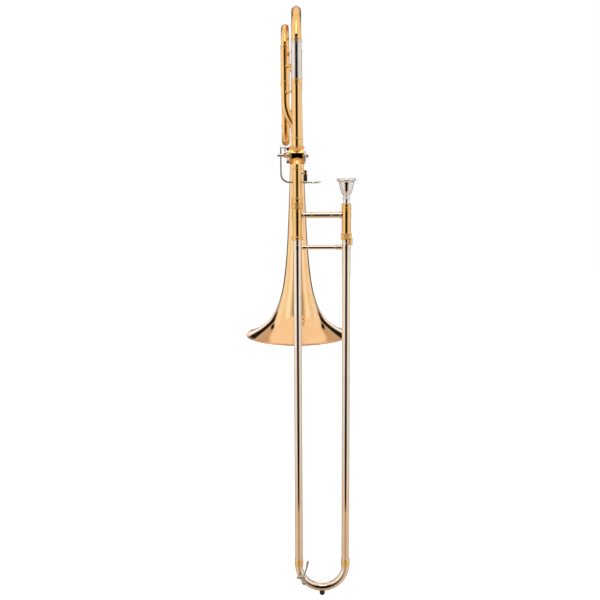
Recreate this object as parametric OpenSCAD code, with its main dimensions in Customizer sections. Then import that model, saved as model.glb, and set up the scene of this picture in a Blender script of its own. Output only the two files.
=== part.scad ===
// Tenor trombone with an F attachment: bell section, hand slide and mouthpiece.
// Millimetres. Z runs up along the bell axis, the origin is the centre of the bell mouth,
// and the hand slide lies in the plane Y = -slide_gap, its mouthpiece leg on the +X side.

/* [Bell] */
// Diameter of the bell mouth
bell_d = 220; // [205:1:235]
// Height of the bell tail above the mouth
bell_l = 520; // [510:1:530]
// Distance along the axis over which the flare opens
flare_l = 80; // [70:1:95]
// Distance between the bell axis and the neckpipe axis
slide_gap = 156; // [150:1:164]

/* [Main tuning slide] */
// Length of the nickel sleeves that the tuning legs slide in
sleeve_l = 70; // [60:1:76]
// Radius of the two corners of the main bow
bow_corner_r = 64; // [56:1:68]
// Outer radius of the bow tube on the neckpipe side
bow_front_r = 9.4; // [9.3:0.1:9.9]
// Outer radius of the bow tube on the bell side
bow_rear_r = 10.8; // [10.7:0.1:11.1]

/* [Hand slide] */
// Distance between the two slide legs
leg_gap = 94.5; // [90:0.5:100]
// Height of the lowest end of the outer slide tubes, where the crook starts
crook_z = -450; // [-470:1:-430]
// Outer radius of an outer slide tube
outer_r = 8; // [7.9:0.05:8.05]
// Outer radius of an inner slide tube
inner_r = 7.45; // [7.3:0.05:7.45]
// Bore radius of the slide
bore_r = 6.95; // [6.6:0.05:7]

/* [F attachment] */
// Outer radius of the F tubing
f_r = 7.65; // [7.4:0.05:7.8]
// Sideways distance between the F slide and the neckpipe
f_side = 22; // [20:0.5:24]
// Bend radius of the F tuning bow
f_bow_r = 38; // [35:0.5:40]
// Bend radius of the bow beside the valve
f_low_r = 25; // [22:0.5:27]
// Angle of the gooseneck bends
f_neck_a = 33; // [30:1:36]

/* [Valve and trigger] */
// Height of the rotor axis
valve_z = 380; // [378:1:382]
// Outer radius of the valve casing
casing_r = 17; // [16.6:0.1:17.5]
// Bend radius of the knuckles on the casing
knuckle_r = 12; // [11:0.5:13]
// Height of the thumb rod
thumb_z = 328; // [326:1:330]
// Trigger travel in degrees
trigger_a = 30; // [28:1:31]

/* [Mouthpiece] */
// Outer diameter of the mouthpiece rim
rim_d = 38; // [36:0.5:40]
// Height of the top of the rim
rim_z = 336.5; // [334:0.5:340]

/* [Hidden] */
$fn = 64;

// Fits: a soldered joint, a sliding fit and the gap between moving neighbours
solder_gap = 0.05;
slide_fit = 0.06;
free_gap = 0.3;

// Places of the two planes of tubing
neck_y = -slide_gap;
right_x = leg_gap;

// Colours
gold_brass = "goldenrod";
yellow_brass = "gold";
rose_brass = "darkgoldenrod";
nickel = "silver";
silver_plate = "gainsboro";
rubber_black = [0.1, 0.1, 0.1];

// Bell outline: a flare that fades into a slow taper
throat_r = 19.4;
bell_taper = 0.0182;
flare_pow = 2.22;
bell_wall = 0.6;
bell_rings = 30;
function bell_r(z) =
    (bell_d / 2 - throat_r) * pow(flare_l / (z + flare_l), flare_pow) + throat_r - bell_taper * z;
function bell_step(i) = bell_l * pow(i / bell_rings, 1.9);

// Valve places: the rotor axis runs along X behind the neckpipe
stub_r = 19.5;
knuckle_start = stub_r * cos(45);
knuckle_offset = knuckle_start + knuckle_r * (1 - cos(45));
knuckle_top = knuckle_start + knuckle_r * sin(45);
valve_y = neck_y + knuckle_offset;
valve_x0 = -12.5;
valve_x1 = 13;
knuckle_tube_r = 8.2;
rotor_r = casing_r - 2;
passage_r = 5.6;

// F tubing places
valve_crook_r = 36;
f_front_y = valve_y + knuckle_offset;
f_rear_y = f_front_y + 2 * f_bow_r;
f_mid_y = f_rear_y - 2 * f_low_r;
crook_centre_y = valve_y + knuckle_start + valve_crook_r * cos(45);
crook_centre_z = valve_z - knuckle_start + valve_crook_r * sin(45);
f_rise_y = crook_centre_y + valve_crook_r;
f_loop_r = sqrt(pow(f_side, 2) + pow(f_rise_y - f_mid_y, 2)) / 2;
f_loop_a = atan2(f_mid_y - f_rise_y, -f_side);
f_loop_top = 558.5;
f_loop_z = f_loop_top - f_loop_r - f_r;
f_low_bottom = 399;
f_low_z = f_low_bottom + f_low_r + f_r;
f_neck_r = f_side / (2 * (1 - cos(f_neck_a)));
f_neck_top = 484;
f_neck_bottom = f_neck_top - 2 * f_neck_r * sin(f_neck_a);
f_sleeve_z0 = 517;
f_sleeve_z1 = 583.5;
f_bow_z = 587.5;

// Main tuning slide places
sleeve_z0 = bell_l + 2;
sleeve_z1 = sleeve_z0 + sleeve_l - free_gap;
bow_z = sleeve_z0 + sleeve_l;
leg_front_r = bow_front_r - 0.2;
leg_rear_r = bow_rear_r + 0.2;
tube_wall = 0.8;
neck_r = 8.2;
rear_ferrule_r = bell_r(bell_l - 8) + solder_gap;

// Trigger places
hinge_y = -112;
hinge_z = 380.5;
lever_arm = 15;
stop_pin_r = lever_arm * sin(trigger_a / 2) / sin(45);
rest_a = trigger_a / 2;
strip_x0 = -33;
strip_x1 = -30;
stop_x = -16;
lug_r = 15;
bumper_track_r = 13;
bumper_a = asin(5.3 / bumper_track_r);

// Hand slide places
nut_z0 = 279.3;
receiver_z0 = 283;
nut_z1 = 288.2;
receiver_z1 = 301;
barrel_z0 = 218;
barrel_z1 = 279;
barrel_r = 8.9;
barrel_in_r = 8.35;
outer_top = 262;
inner_bottom = -430;
stocking_l = 140;
hand_brace_z = 266.4;
outer_brace_z = 204;
lock_hook_a = -35;
lock_pin_a = -95;
lock_pin_z = 212.6;
crook_r = leg_gap / 2;
crook_tube_r = outer_r + 0.1;
bumper_z = crook_z - crook_r - crook_tube_r - 8.6;

// Water key places, on the front of the crook
key_y = neck_y - 13.5;
key_z = crook_z - 19.5;
key_cup_x = 10;
key_cup_z = crook_z - 32;

// ---- shapes used again and again ----

// Upright tube between two heights
module tube(x, y, z0, z1, ro, ri) {
    translate([x, y, z0])
    difference() {
        cylinder(h = z1 - z0, r = ro);
        translate([0, 0, -1])
        cylinder(h = z1 - z0 + 2, r = ri);
    }
}

// Upright tube that widens from radius r0 to r1, with the wall measured across
module cone_tube(h, r0, r1, wall) {
    rotate_extrude()
    polygon([[r0 - wall, 0], [r0, 0], [r1, h], [r1 - wall, h]]);
}

// Part of a ring of tube, from angle a0 over angle sweep, in the plane of its own X and Y
module bend(r, ro, ri, a0, sweep) {
    rotate_extrude(angle = sweep, start = a0, $fn = 96)
    translate([r, 0])
    difference() {
        circle(r = ro);
        circle(r = ri);
    }
}

// Solid ring of the same kind, to cut a brace to the tube that it sits on
module bend_core(r, ro, a0, sweep) {
    rotate_extrude(angle = sweep, start = a0, $fn = 96)
    translate([r, 0])
    circle(r = ro);
}

// Turns a shape's X and Y into the row's Y and Z
module in_yz(x, y, z) {
    translate([x, y, z])
    rotate([90, 0, 90])
    children();
}

// Turns a shape's X and Y into the row's X and Z
module in_xz(x, y, z) {
    translate([x, y, z])
    rotate([90, 0, 0])
    children();
}

// Round bar along X, Y or between two points
module bar_x(x0, x1, y, z, r) {
    translate([x0, y, z])
    rotate([0, 90, 0])
    cylinder(h = x1 - x0, r = r);
}

module bar_y(x, y0, y1, z, r) {
    translate([x, y0, z])
    rotate([-90, 0, 0])
    cylinder(h = y1 - y0, r = r);
}

module bar(a, b, r) {
    d = b - a;
    l = norm(d);
    translate(a)
    rotate([0, acos(d[2] / l), atan2(d[1], d[0])])
    cylinder(h = l, r = r);
}

// Ring with a bead in its middle
module ferrule(x, y, z0, z1, ro, ri, bead) {
    tube(x, y, z0, z1, ro, ri);
    tube(x, y, (z0 + z1) / 2 - 0.8, (z0 + z1) / 2 + 0.8, ro + bead, ri);
}

// Strut between two upright tubes at (x0, y0) and (x1, y1), with a round foot on each
module strut(x0, y0, r0, x1, y1, r1, z, r, foot_r) {
    span = norm([x1 - x0, y1 - y0]);
    foot_l = 3;
    difference() {
        translate([x0, y0, z])
        rotate([0, 0, atan2(y1 - y0, x1 - x0)]) {
            bar_x(r0 - 1, span - r1 + 1, 0, 0, r);
            bar_x(r0 - 1, r0 + foot_l, 0, 0, foot_r);
            bar_x(span - r1 - foot_l, span - r1 + 1, 0, 0, foot_r);
            bar_x(span / 2 - 1, span / 2 + 1, 0, 0, r + 1);
        }
        translate([x0, y0, z - 20])
        cylinder(h = 40, r = r0 + solder_gap);
        translate([x1, y1, z - 20])
        cylinder(h = 40, r = r1 + solder_gap);
    }
}

// ---- bell section ----

module bell() {
    outer = [for (i = [0:bell_rings]) [bell_r(bell_step(i)), bell_step(i)]];
    inner = [for (i = [bell_rings:-1:0]) [bell_r(bell_step(i)) - bell_wall, bell_step(i)]];
    color(gold_brass)
    rotate_extrude($fn = 96)
    polygon(concat(outer, inner));
}

module bell_rim_wire() {
    color(rose_brass)
    rotate_extrude($fn = 96)
    translate([bell_d / 2 - 0.4, 0])
    circle(r = 1.6, $fn = 24);
}

module tuning_sleeve_front() {
    color(nickel) {
        tube(0, neck_y, sleeve_z0, sleeve_z1, leg_front_r + tube_wall + slide_fit, leg_front_r + slide_fit);
        tube(0, neck_y, sleeve_z1 - 3, sleeve_z1, leg_front_r + 1.5, leg_front_r + slide_fit);
    }
}

module tuning_sleeve_rear() {
    color(nickel) {
        tube(0, 0, sleeve_z0, sleeve_z1, leg_rear_r + tube_wall + slide_fit, leg_rear_r + slide_fit);
        tube(0, 0, sleeve_z1 - 3, sleeve_z1, leg_rear_r + 1.5, leg_rear_r + slide_fit);
    }
}

// Stepped rings that join the sleeves to the neckpipe and to the bell tail
module sleeve_ferrules() {
    color(yellow_brass) {
        ferrule(0, neck_y, bell_l - 8, sleeve_z0, leg_front_r + 1.3, neck_r + solder_gap, 0.6);
        ferrule(0, 0, bell_l - 8, sleeve_z0, leg_rear_r + 1.3, rear_ferrule_r, 0.6);
    }
}

// Knuckle bend above the casing: the side is -1 in front, where it starts at the angle
// a0 = 180, and 1 behind, where it starts at 315
module knuckle(side, a0, r) {
    in_yz(0, valve_y + side * (knuckle_start - knuckle_r * cos(45)), valve_z + knuckle_top)
    bend(knuckle_r, r, bore_r, a0, 45);
}

module upper_neckpipe() {
    color(gold_brass) {
        tube(0, neck_y, valve_z + knuckle_top, sleeve_z0, neck_r, bore_r);
        knuckle(-1, 180, neck_r);
    }
}

// The same shape as the upper neckpipe, turned over about the rotor
module lower_neckpipe() {
    color(gold_brass)
    translate([0, 0, 2 * valve_z])
    rotate([0, 180, 0]) {
        tube(0, neck_y, valve_z + knuckle_top, 2 * valve_z - receiver_z1 + 2, neck_r, bore_r);
        knuckle(-1, 180, neck_r);
    }
}

module neck_rings() {
    color(yellow_brass) {
        ferrule(0, neck_y, 409, 414, neck_r + 0.6, neck_r + solder_gap, 0.4);
        ferrule(0, neck_y, 353, 357, neck_r + 0.6, neck_r + solder_gap, 0.4);
        ferrule(0, f_front_y, 403, 407, f_r + 0.6, f_r + solder_gap, 0.4);
    }
}

// Socket for the slide's tenon, with the thread that the lock nut grips
module neck_receiver() {
    color(yellow_brass)
    difference() {
        translate([0, neck_y, 0])
        union() {
            translate([0, 0, receiver_z0 + 0.3])
            cylinder(h = 7, r = 9);
            translate([0, 0, nut_z1 + free_gap])
            cylinder(h = receiver_z1 - nut_z1 - free_gap, r = 9.6);
            translate([0, 0, 297])
            cylinder(h = 2, r = 10.4);
            translate([0, 0, nut_z1 + free_gap])
            cylinder(h = 1.8, r = 10.6);
        }
        translate([0, neck_y, receiver_z0 - 1])
        cylinder(h = 297.4 - receiver_z0 + 1, r = 8.5);
        translate([0, neck_y, 290])
        cylinder(h = 30, r = bore_r);
        translate([0, neck_y, receiver_z1 - 2])
        cylinder(h = 10, r = neck_r + solder_gap);
    }
}

// Straight part of a knuckle, out of the casing at the angle a from the row's Y axis
module knuckle_stub(a, r0, r1, r) {
    in_yz(0, valve_y, valve_z)
    rotate([0, 0, a])
    translate([r0, 0, 0])
    rotate([0, 90, 0])
    cylinder(h = r1 - r0, r = r);
}

// Casing with the four stubs that the tubes are soldered to
module valve_casing() {
    color(yellow_brass)
    difference() {
        union() {
            bar_x(valve_x0, valve_x1, valve_y, valve_z, casing_r);
            for (a = [45:90:315])
                knuckle_stub(a, rotor_r - 3, stub_r, knuckle_tube_r);
        }
        bar_x(valve_x0 - 1, valve_x1 + 1, valve_y, valve_z, rotor_r);
        for (a = [45:90:315])
            knuckle_stub(a, rotor_r - 4, stub_r + 1, bore_r);
    }
}

// Left bearing plate of the valve; its arm carries the trigger's hinge boss
module valve_end_plate() {
    arm_l = hinge_y - valve_y;
    color(yellow_brass)
    difference() {
        union() {
            bar_x(valve_x0 - 2.5, valve_x0, valve_y, valve_z, casing_r + 0.5);
            translate([valve_x0 - 2.5, valve_y + 8, hinge_z - 4])
            cube([2.5, arm_l - 8, 8]);
            bar_x(-26.5, valve_x0, hinge_y, hinge_z, 4);
            bar_x(-26.5, -24.5, hinge_y, hinge_z, 4.6);
        }
        bar_x(valve_x0 - 3, valve_x0 + 1, valve_y, valve_z, 3.5 + slide_fit);
        bar_x(-30, valve_x0 + 1, hinge_y, hinge_z, 1.5);
    }
}

module valve_back_plate() {
    color(yellow_brass)
    difference() {
        bar_x(10.4, valve_x1 - 0.2, valve_y, valve_z, rotor_r - 0.1);
        bar_x(9, valve_x1 + 1, valve_y, valve_z, 3.5 + slide_fit);
    }
}

// Screwed cap with a hub and a milled edge
module valve_back_cap() {
    color(silver_plate)
    difference() {
        union() {
            bar_x(valve_x1, valve_x1 + 3.2, valve_y, valve_z, casing_r - 0.4);
            bar_x(valve_x1 + 3.2, valve_x1 + 4.4, valve_y, valve_z, casing_r - 5);
            bar_x(valve_x1 + 4.4, valve_x1 + 9.5, valve_y, valve_z, 5);
        }
        bar_x(valve_x1 - 1, valve_x1 + 1.6, valve_y, valve_z, 4.4);
        for (a = [0:20:340])
            in_yz(valve_x1 + 1.6, valve_y, valve_z)
            rotate([0, 0, a])
            translate([casing_r - 0.2, 0, -3])
            cylinder(h = 6, r = 0.8, $fn = 16);
    }
}

// The two rubber stops that the stop arm's lug meets
module stop_bumpers() {
    color(rubber_black)
    for (a = [135 - bumper_a, 225 + bumper_a])
        bar_x(-20, valve_x0 - 2.5, valve_y + bumper_track_r * cos(a), valve_z + bumper_track_r * sin(a), 3);
}

module f_valve_crook() {
    color(gold_brass)
    in_yz(0, crook_centre_y, crook_centre_z)
    bend(valve_crook_r, f_r, bore_r, 225, 135);
}

// Rising tube, bow and falling tube beside the neckpipe
module f_inner_loop() {
    color(gold_brass)
    translate([-f_side / 2, (f_rise_y + f_mid_y) / 2, 0])
    rotate([0, 0, f_loop_a]) {
        tube(-f_loop_r, 0, crook_centre_z, f_loop_z, f_r, bore_r);
        tube(f_loop_r, 0, f_low_z, f_loop_z, f_r, bore_r);
        in_xz(0, 0, f_loop_z)
        bend(f_loop_r, f_r, bore_r, 0, 180);
    }
}

module f_lower_bow() {
    color(gold_brass)
    in_yz(-f_side, (f_mid_y + f_rear_y) / 2, f_low_z)
    bend(f_low_r, f_r, bore_r, 180, 180);
}

module f_rear_tube() {
    color(gold_brass)
    tube(-f_side, f_rear_y, f_low_z, f_sleeve_z0, f_r, bore_r);
}

// Front F tube: straight down, then an S that brings it behind the neckpipe to the valve
module f_gooseneck() {
    color(gold_brass) {
        tube(-f_side, f_front_y, f_neck_top, f_sleeve_z0, f_r, bore_r);
        in_xz(-f_side + f_neck_r, f_front_y, f_neck_top)
        bend(f_neck_r, f_r, bore_r, 180, f_neck_a);
        in_xz(-f_neck_r, f_front_y, f_neck_bottom)
        bend(f_neck_r, f_r, bore_r, 0, f_neck_a);
        tube(0, f_front_y, valve_z + knuckle_top, f_neck_bottom, f_r, bore_r);
        knuckle(1, 315, f_r);
    }
}

module f_sleeves() {
    color(gold_brass)
    for (y = [f_front_y, f_rear_y])
        tube(-f_side, y, f_sleeve_z0, f_sleeve_z1, f_r + 0.75, f_r - 0.15 + slide_fit);
}

module f_ferrules() {
    color(yellow_brass)
    for (y = [f_front_y, f_rear_y]) {
        ferrule(-f_side, y, f_sleeve_z0 - 5, f_sleeve_z0, f_r + 1, f_r + solder_gap, 0.5);
        ferrule(-f_side, y, f_sleeve_z1 - 5, f_sleeve_z1 - 0.2, f_r + 1.2, f_r + 0.8, 0.5);
        ferrule(-f_side, y, f_sleeve_z0 + 0.2, f_sleeve_z0 + 4, f_r + 1.2, f_r + 0.8, 0.5);
    }
    color(yellow_brass)
    for (p = [[-f_side, f_mid_y, f_low_z + 3], [-f_side, f_rear_y, f_low_z + 3], [0, f_rise_y, 396]])
        ferrule(p[0], p[1], p[2], p[2] + 6, f_r + 0.6, f_r + solder_gap, 0.4);
}

// Short struts that carry the F tubing on the main tubing
module f_braces() {
    color(yellow_brass) {
        strut(-f_side, f_front_y, f_r + 0.75, 0, neck_y, leg_front_r + 0.86, 548, 2.4, 4);
        strut(-f_side, f_front_y, f_r, 0, neck_y, neck_r, 500, 2.4, 4);
        strut(-f_side, f_rear_y, f_r, 0, 0, bell_r(464), 470, 2.4, 4);
        strut(-f_side, f_mid_y, f_r, -f_side, f_rear_y, f_r, 480, 2.2, 3.6);
    }
}

module bell_brace_lower() {
    color(yellow_brass)
    difference() {
        strut(0, neck_y, neck_r, 0, 0, bell_r(311) - 0.5, 311, 4, 6.5);
        bell_core(300, 322);
    }
}

// The bell's own outside between two heights, for shaping feet that sit on it
module bell_core(z0, z1) {
    translate([0, 0, z0])
    cylinder(h = z1 - z0, r1 = bell_r(z0) + solder_gap, r2 = bell_r(z1) + solder_gap);
}

module bell_brace_upper() {
    color(yellow_brass)
    strut(0, neck_y, leg_front_r + 0.86, 0, 0, leg_rear_r + 0.86, 573, 4, 6.5);
}

// Arm on the neckpipe with a nut that holds the trigger's rest pad
module trigger_stop_arm() {
    color(yellow_brass) {
        difference() {
            union() {
                bar([4, neck_y + 6, 346], [16.5, -105.5, 346], 2);
                bar([2, neck_y + 2, 346], [6.6, neck_y + 14, 346], 3.4);
            }
            tube_core(0, neck_y, 330, 360, neck_r + solder_gap);
        }
        translate([16.5, -105.5, 342])
        cylinder(h = 8, r = 3.8, $fn = 6);
        translate([16.5, -105.5, 349])
        cylinder(h = 2.4, r = 2.4);
    }
}

module tube_core(x, y, z0, z1, r) {
    translate([x, y, z0])
    cylinder(h = z1 - z0, r = r);
}

module trigger_stop_pad() {
    color(rubber_black)
    translate([16.5, -105.5, 325])
    cylinder(h = 17, r = 3.9);
}

module lever_screw() {
    color(nickel) {
        bar_x(-36.4, valve_x0 - 0.5, hinge_y, hinge_z, 1.5 - 0.01);
        bar_x(-38.4, -36.4, hinge_y, hinge_z, 3);
    }
}

// Torsion spring on the hinge boss: stacked turns and two straight ends
module lever_spring() {
    color(nickel) {
        for (i = [0:4])
            in_yz(-23.6 + i * 1.1, hinge_y, hinge_z)
            rotate_extrude($fn = 48)
            translate([5.1, 0])
            circle(r = 0.5, $fn = 16);
        bar([-19.2, hinge_y + 5.1, hinge_z], [-19.2, hinge_y + 5.1, hinge_z - 16], 0.5);
    }
}

// ---- main tuning slide ----

module tuning_bow() {
    flat_y0 = neck_y + bow_corner_r;
    flat_y1 = -bow_corner_r;
    color(gold_brass) {
        in_yz(0, flat_y0, bow_z)
        bend(bow_corner_r, bow_front_r, bow_front_r - tube_wall, 90, 90);
        in_yz(0, flat_y1, bow_z)
        bend(bow_corner_r, bow_rear_r, bow_rear_r - tube_wall, 0, 90);
        translate([0, flat_y0, bow_z + bow_corner_r])
        rotate([-90, 0, 0])
        cone_tube(flat_y1 - flat_y0, bow_front_r, bow_rear_r, tube_wall);
    }
}

module tuning_legs() {
    color(nickel) {
        tube(0, neck_y, sleeve_z0 + 1, bow_z, leg_front_r, leg_front_r - tube_wall);
        tube(0, 0, sleeve_z0 + 1, bow_z, leg_rear_r, leg_rear_r - tube_wall);
    }
}

module tuning_bow_ferrules() {
    color(yellow_brass) {
        ferrule(0, neck_y, bow_z, bow_z + 5, bow_front_r + 1.2, bow_front_r + 0.3, 0.6);
        ferrule(0, 0, bow_z, bow_z + 5, bow_rear_r + 1.2, bow_rear_r + 0.3, 0.6);
    }
}

module tuning_brace() {
    brace_z = bow_z + 14;
    inset = bow_corner_r - sqrt(pow(bow_corner_r, 2) - pow(brace_z - bow_z, 2));
    color(yellow_brass)
    difference() {
        strut(0, neck_y + inset, bow_front_r, 0, -inset, bow_rear_r, brace_z, 3.6, 5.5);
        in_yz(0, neck_y + bow_corner_r, bow_z)
        bend_core(bow_corner_r, bow_front_r + solder_gap, 90, 90);
        in_yz(0, -bow_corner_r, bow_z)
        bend_core(bow_corner_r, bow_rear_r + solder_gap, 0, 90);
    }
}

// ---- F tuning slide ----

module f_bow() {
    color(gold_brass) {
        in_yz(-f_side, (f_front_y + f_rear_y) / 2, f_bow_z)
        bend(f_bow_r, f_r, bore_r, 0, 180);
        for (y = [f_front_y, f_rear_y])
            tube(-f_side, y, f_sleeve_z1 + free_gap, f_bow_z, f_r, bore_r);
    }
}

module f_slide_legs() {
    color(nickel)
    for (y = [f_front_y, f_rear_y])
        tube(-f_side, y, f_sleeve_z0 + 1, f_sleeve_z1 + free_gap, f_r - 0.15, bore_r - 0.1);
}

module f_bow_ferrules() {
    color(yellow_brass)
    for (y = [f_front_y, f_rear_y])
        ferrule(-f_side, y, f_sleeve_z1 + free_gap, f_bow_z + 1, f_r + 1, f_r + solder_gap, 0.5);
}

module f_slide_brace() {
    brace_z = f_bow_z + 10;
    inset = f_bow_r - sqrt(pow(f_bow_r, 2) - pow(brace_z - f_bow_z, 2));
    color(yellow_brass)
    difference() {
        strut(-f_side, f_front_y + inset, f_r + 0.3, -f_side, f_rear_y - inset, f_r + 0.3, brace_z, 2.6, 4);
        in_yz(-f_side, (f_front_y + f_rear_y) / 2, f_bow_z)
        bend_core(f_bow_r, f_r + solder_gap, 0, 180);
    }
}

// ---- rotor and trigger ----

// Rotor with its two curved passages and its journals
module rotor() {
    reach = rotor_r * sqrt(2);
    color("peru")
    difference() {
        union() {
            bar_x(-12.2, 10.1, valve_y, valve_z, rotor_r - slide_fit);
            bar_x(-18.4, 14.2, valve_y, valve_z, 2.4);
            bar_x(-15.7, 12.6, valve_y, valve_z, 3.5);
        }
        for (s = [-1, 1])
            in_yz(-1, valve_y + s * reach, valve_z)
            rotate_extrude($fn = 72)
            translate([rotor_r, 0])
            circle(r = passage_r);
    }
}

// Arm on the rotor's left end: a hub, the link pin, a stop lug and its screw
module stop_arm() {
    color(nickel) {
        difference() {
            union() {
                bar_x(-18.5, stop_x, valve_y, valve_z, 7.6);
                in_yz(-18.2, valve_y, valve_z)
                rotate([0, 0, 225])
                translate([5, -2, 0])
                cube([lug_r - 5, 4, 1.9]);
            }
            bar_x(-20, 0, valve_y, valve_z, 2.4 + solder_gap);
        }
        bar_x(-25.4, -18.5, valve_y - stop_pin_r * cos(45), valve_z + stop_pin_r * sin(45), 1.2);
    }
    color(silver_plate)
    difference() {
        bar_x(-20.4, -18.5, valve_y, valve_z, 2.9);
        translate([-21, valve_y - 0.4, valve_z - 4])
        cube([1.3, 0.8, 8]);
    }
}

// Lever: hinge hub, short upper arm with the link pin, and the rod that reaches the thumb
module trigger_lever() {
    bend_r = 12;
    tip_y = hinge_y - lever_arm * sin(rest_a);
    tip_z = hinge_z + lever_arm * cos(rest_a);
    strip_x = (strip_x0 + strip_x1) / 2;
    color(nickel) {
        difference() {
            union() {
                bar_x(-36, -26.9, hinge_y, hinge_z, 3.2);
                bar_x(strip_x0, strip_x1, tip_y, tip_z, 3);
                in_yz(strip_x0, hinge_y, hinge_z)
                rotate([0, 0, 90 + rest_a])
                translate([0, -2.2, 0])
                cube([lever_arm, 4.4, 3]);
                translate([strip_x0, hinge_y - 2.2, thumb_z + bend_r])
                cube([3, 4.4, hinge_z - thumb_z - bend_r]);
            }
            bar_x(-40, -20, hinge_y, hinge_z, 1.5 + slide_fit);
        }
        bar_x(strip_x1 - 1, -20.6, tip_y, tip_z, 1.5);
        in_xz(strip_x + bend_r, hinge_y, thumb_z + bend_r)
        rotate_extrude(angle = 90, start = 180, $fn = 64)
        translate([bend_r, 0])
        circle(r = 2.1, $fn = 32);
        bar_x(strip_x + bend_r, 30, hinge_y, thumb_z, 2.1);
    }
}

// Oval pad for the thumb, tilted a little towards it
module thumb_paddle() {
    color(silver_plate)
    difference() {
        translate([38, hinge_y, thumb_z])
        rotate([12, 0, 0])
        union() {
            translate([-3.5, -6, -1.3])
            cube([7, 12, 2.6]);
            translate([-3.5, 0, -1.3])
            cylinder(h = 2.6, r = 6);
            translate([3.5, 0, -1.3])
            cylinder(h = 2.6, r = 6);
            bar_x(-11, -2, 0, 0, 2.9);
        }
        bar_x(20, 30 + solder_gap, hinge_y, thumb_z, 2.1 + solder_gap);
    }
}

// Link between the lever and the stop arm; the eye on the stop arm's pin is wide
module link_rod() {
    y0 = hinge_y - lever_arm * sin(rest_a);
    z0 = hinge_z + lever_arm * cos(rest_a);
    y1 = valve_y - stop_pin_r * cos(45);
    z1 = valve_z + stop_pin_r * sin(45);
    color(nickel)
    difference() {
        union() {
            bar_x(-24.6, -21.8, y0, z0, 3.4);
            bar_x(-24.6, -21.8, y1, z1, 4.4);
            bar([-23.2, y0, z0], [-23.2, y1, z1], 1.3);
        }
        bar_x(-26, -20, y0, z0, 1.5 + slide_fit);
        bar_x(-26, -20, y1, z1, 2.75);
    }
}

// ---- inner slide ----

// Knurled nut that clamps the tenon in the neck receiver
module bell_lock_nut() {
    knurls = 24;
    color(yellow_brass)
    difference() {
        union() {
            tube_core(0, neck_y, nut_z0, nut_z1, 10.2);
            tube_core(0, neck_y, nut_z0, nut_z0 + 1.8, 10.9);
            tube_core(0, neck_y, nut_z1 - 1.8, nut_z1, 10.9);
        }
        tube_core(0, neck_y, nut_z0 - 1, nut_z1 + 1, 8.5);
        tube_core(0, neck_y, receiver_z0, nut_z1 + 1, 9 + slide_fit);
        for (i = [0:knurls - 1])
            translate([0, neck_y, nut_z0 + 2.4])
            rotate([0, 0, i * 360 / knurls])
            translate([10.45, 0, 0])
            cylinder(h = nut_z1 - nut_z0 - 4.8, r = 0.6, $fn = 12);
    }
}

module slide_tenon() {
    color(yellow_brass)
    tube(0, neck_y, barrel_z1, 297, 8.5 - slide_fit, bore_r);
}

// Barrel around the top of an outer tube, closed at the top where the inner tube is fixed
module cork_barrel(x) {
    tube(x, neck_y, barrel_z0, barrel_z1 - 7, barrel_r, barrel_in_r);
    tube(x, neck_y, barrel_z1 - 7, barrel_z1, barrel_r, inner_r + solder_gap);
    tube(x, neck_y, barrel_z1 - 1.5, barrel_z1, barrel_r + 0.9, inner_r + solder_gap);
}

module cork_barrel_left() {
    color(yellow_brass) {
        cork_barrel(0);
        tube(0, neck_y, barrel_z0, barrel_z0 + 6.5, 10.7, barrel_r - 0.1);
    }
}

module cork_barrel_right() {
    color(yellow_brass) {
        cork_barrel(right_x);
        tube(right_x, neck_y, barrel_z0, barrel_z0 + 1.5, 9.9, barrel_r - 0.1);
        tube(right_x, neck_y, barrel_z0 + 11.6, barrel_z0 + 13.2, 9.7, barrel_r - 0.1);
    }
}

// Inner tube with the thicker stocking at its lower end
module inner_tube(x) {
    tube(x, neck_y, inner_bottom, barrel_z1, inner_r, bore_r);
    tube(x, neck_y, inner_bottom, inner_bottom + stocking_l, outer_r - 0.4 - slide_fit, bore_r);
}

module inner_tube_left() {
    color(nickel)
    inner_tube(0);
}

module inner_tube_right() {
    color(nickel)
    inner_tube(right_x);
}

// Tapered pipe inside the right inner tube; its top is the socket for the mouthpiece shank
module leadpipe() {
    pipe_z0 = 90;
    throat_z = 262;
    color(yellow_brass)
    translate([right_x, neck_y, 0])
    difference() {
        tube_core(0, 0, pipe_z0, barrel_z1, bore_r - solder_gap);
        translate([0, 0, pipe_z0 - 1])
        cylinder(h = throat_z - pipe_z0 + 1, r1 = 6.6, r2 = 5.62);
        translate([0, 0, throat_z])
        cylinder(h = barrel_z1 - throat_z, r1 = 5.62, r2 = 6.4);
        tube_core(0, 0, barrel_z1 - 0.01, barrel_z1 + 1, 6.4);
    }
}

module mouthpiece_receiver() {
    color(yellow_brass)
    difference() {
        union() {
            tube_core(right_x, neck_y, barrel_z1, 288, 8.7);
            tube_core(right_x, neck_y, 286, 288, 9.6);
            tube_core(right_x, neck_y, barrel_z1, barrel_z1 + 1.5, 9.6);
        }
        tube_core(right_x, neck_y, barrel_z1 - 1, 290, 6.3);
    }
}

// Left-hand brace between the barrels, with cuffs and two joint rings
module hand_brace() {
    color(nickel)
    difference() {
        union() {
            bar_x(6, right_x - 6, neck_y, hand_brace_z, 5.2);
            bar_x(30, right_x - 30, neck_y, hand_brace_z, 5.8);
            for (x = [0, right_x])
                tube_core(x, neck_y, hand_brace_z - 7.5, hand_brace_z + 7.5, barrel_r + 0.75);
            for (x = [9, right_x - 12])
                bar_x(x, x + 3, neck_y, hand_brace_z, 7);
            for (x = [27.5, right_x - 30.5])
                bar_x(x, x + 3, neck_y, hand_brace_z, 6.9);
        }
        for (x = [0, right_x])
            tube_core(x, neck_y, hand_brace_z - 20, hand_brace_z + 20, barrel_r + solder_gap);
    }
}

// Felt and cork rings that cushion the outer tubes at the top of the barrels
module barrel_corks() {
    color("tan")
    for (x = [0, right_x])
        tube(x, neck_y, outer_top + 0.5, barrel_z1 - 7.1, barrel_in_r - 0.05, inner_r + solder_gap);
}

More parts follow.
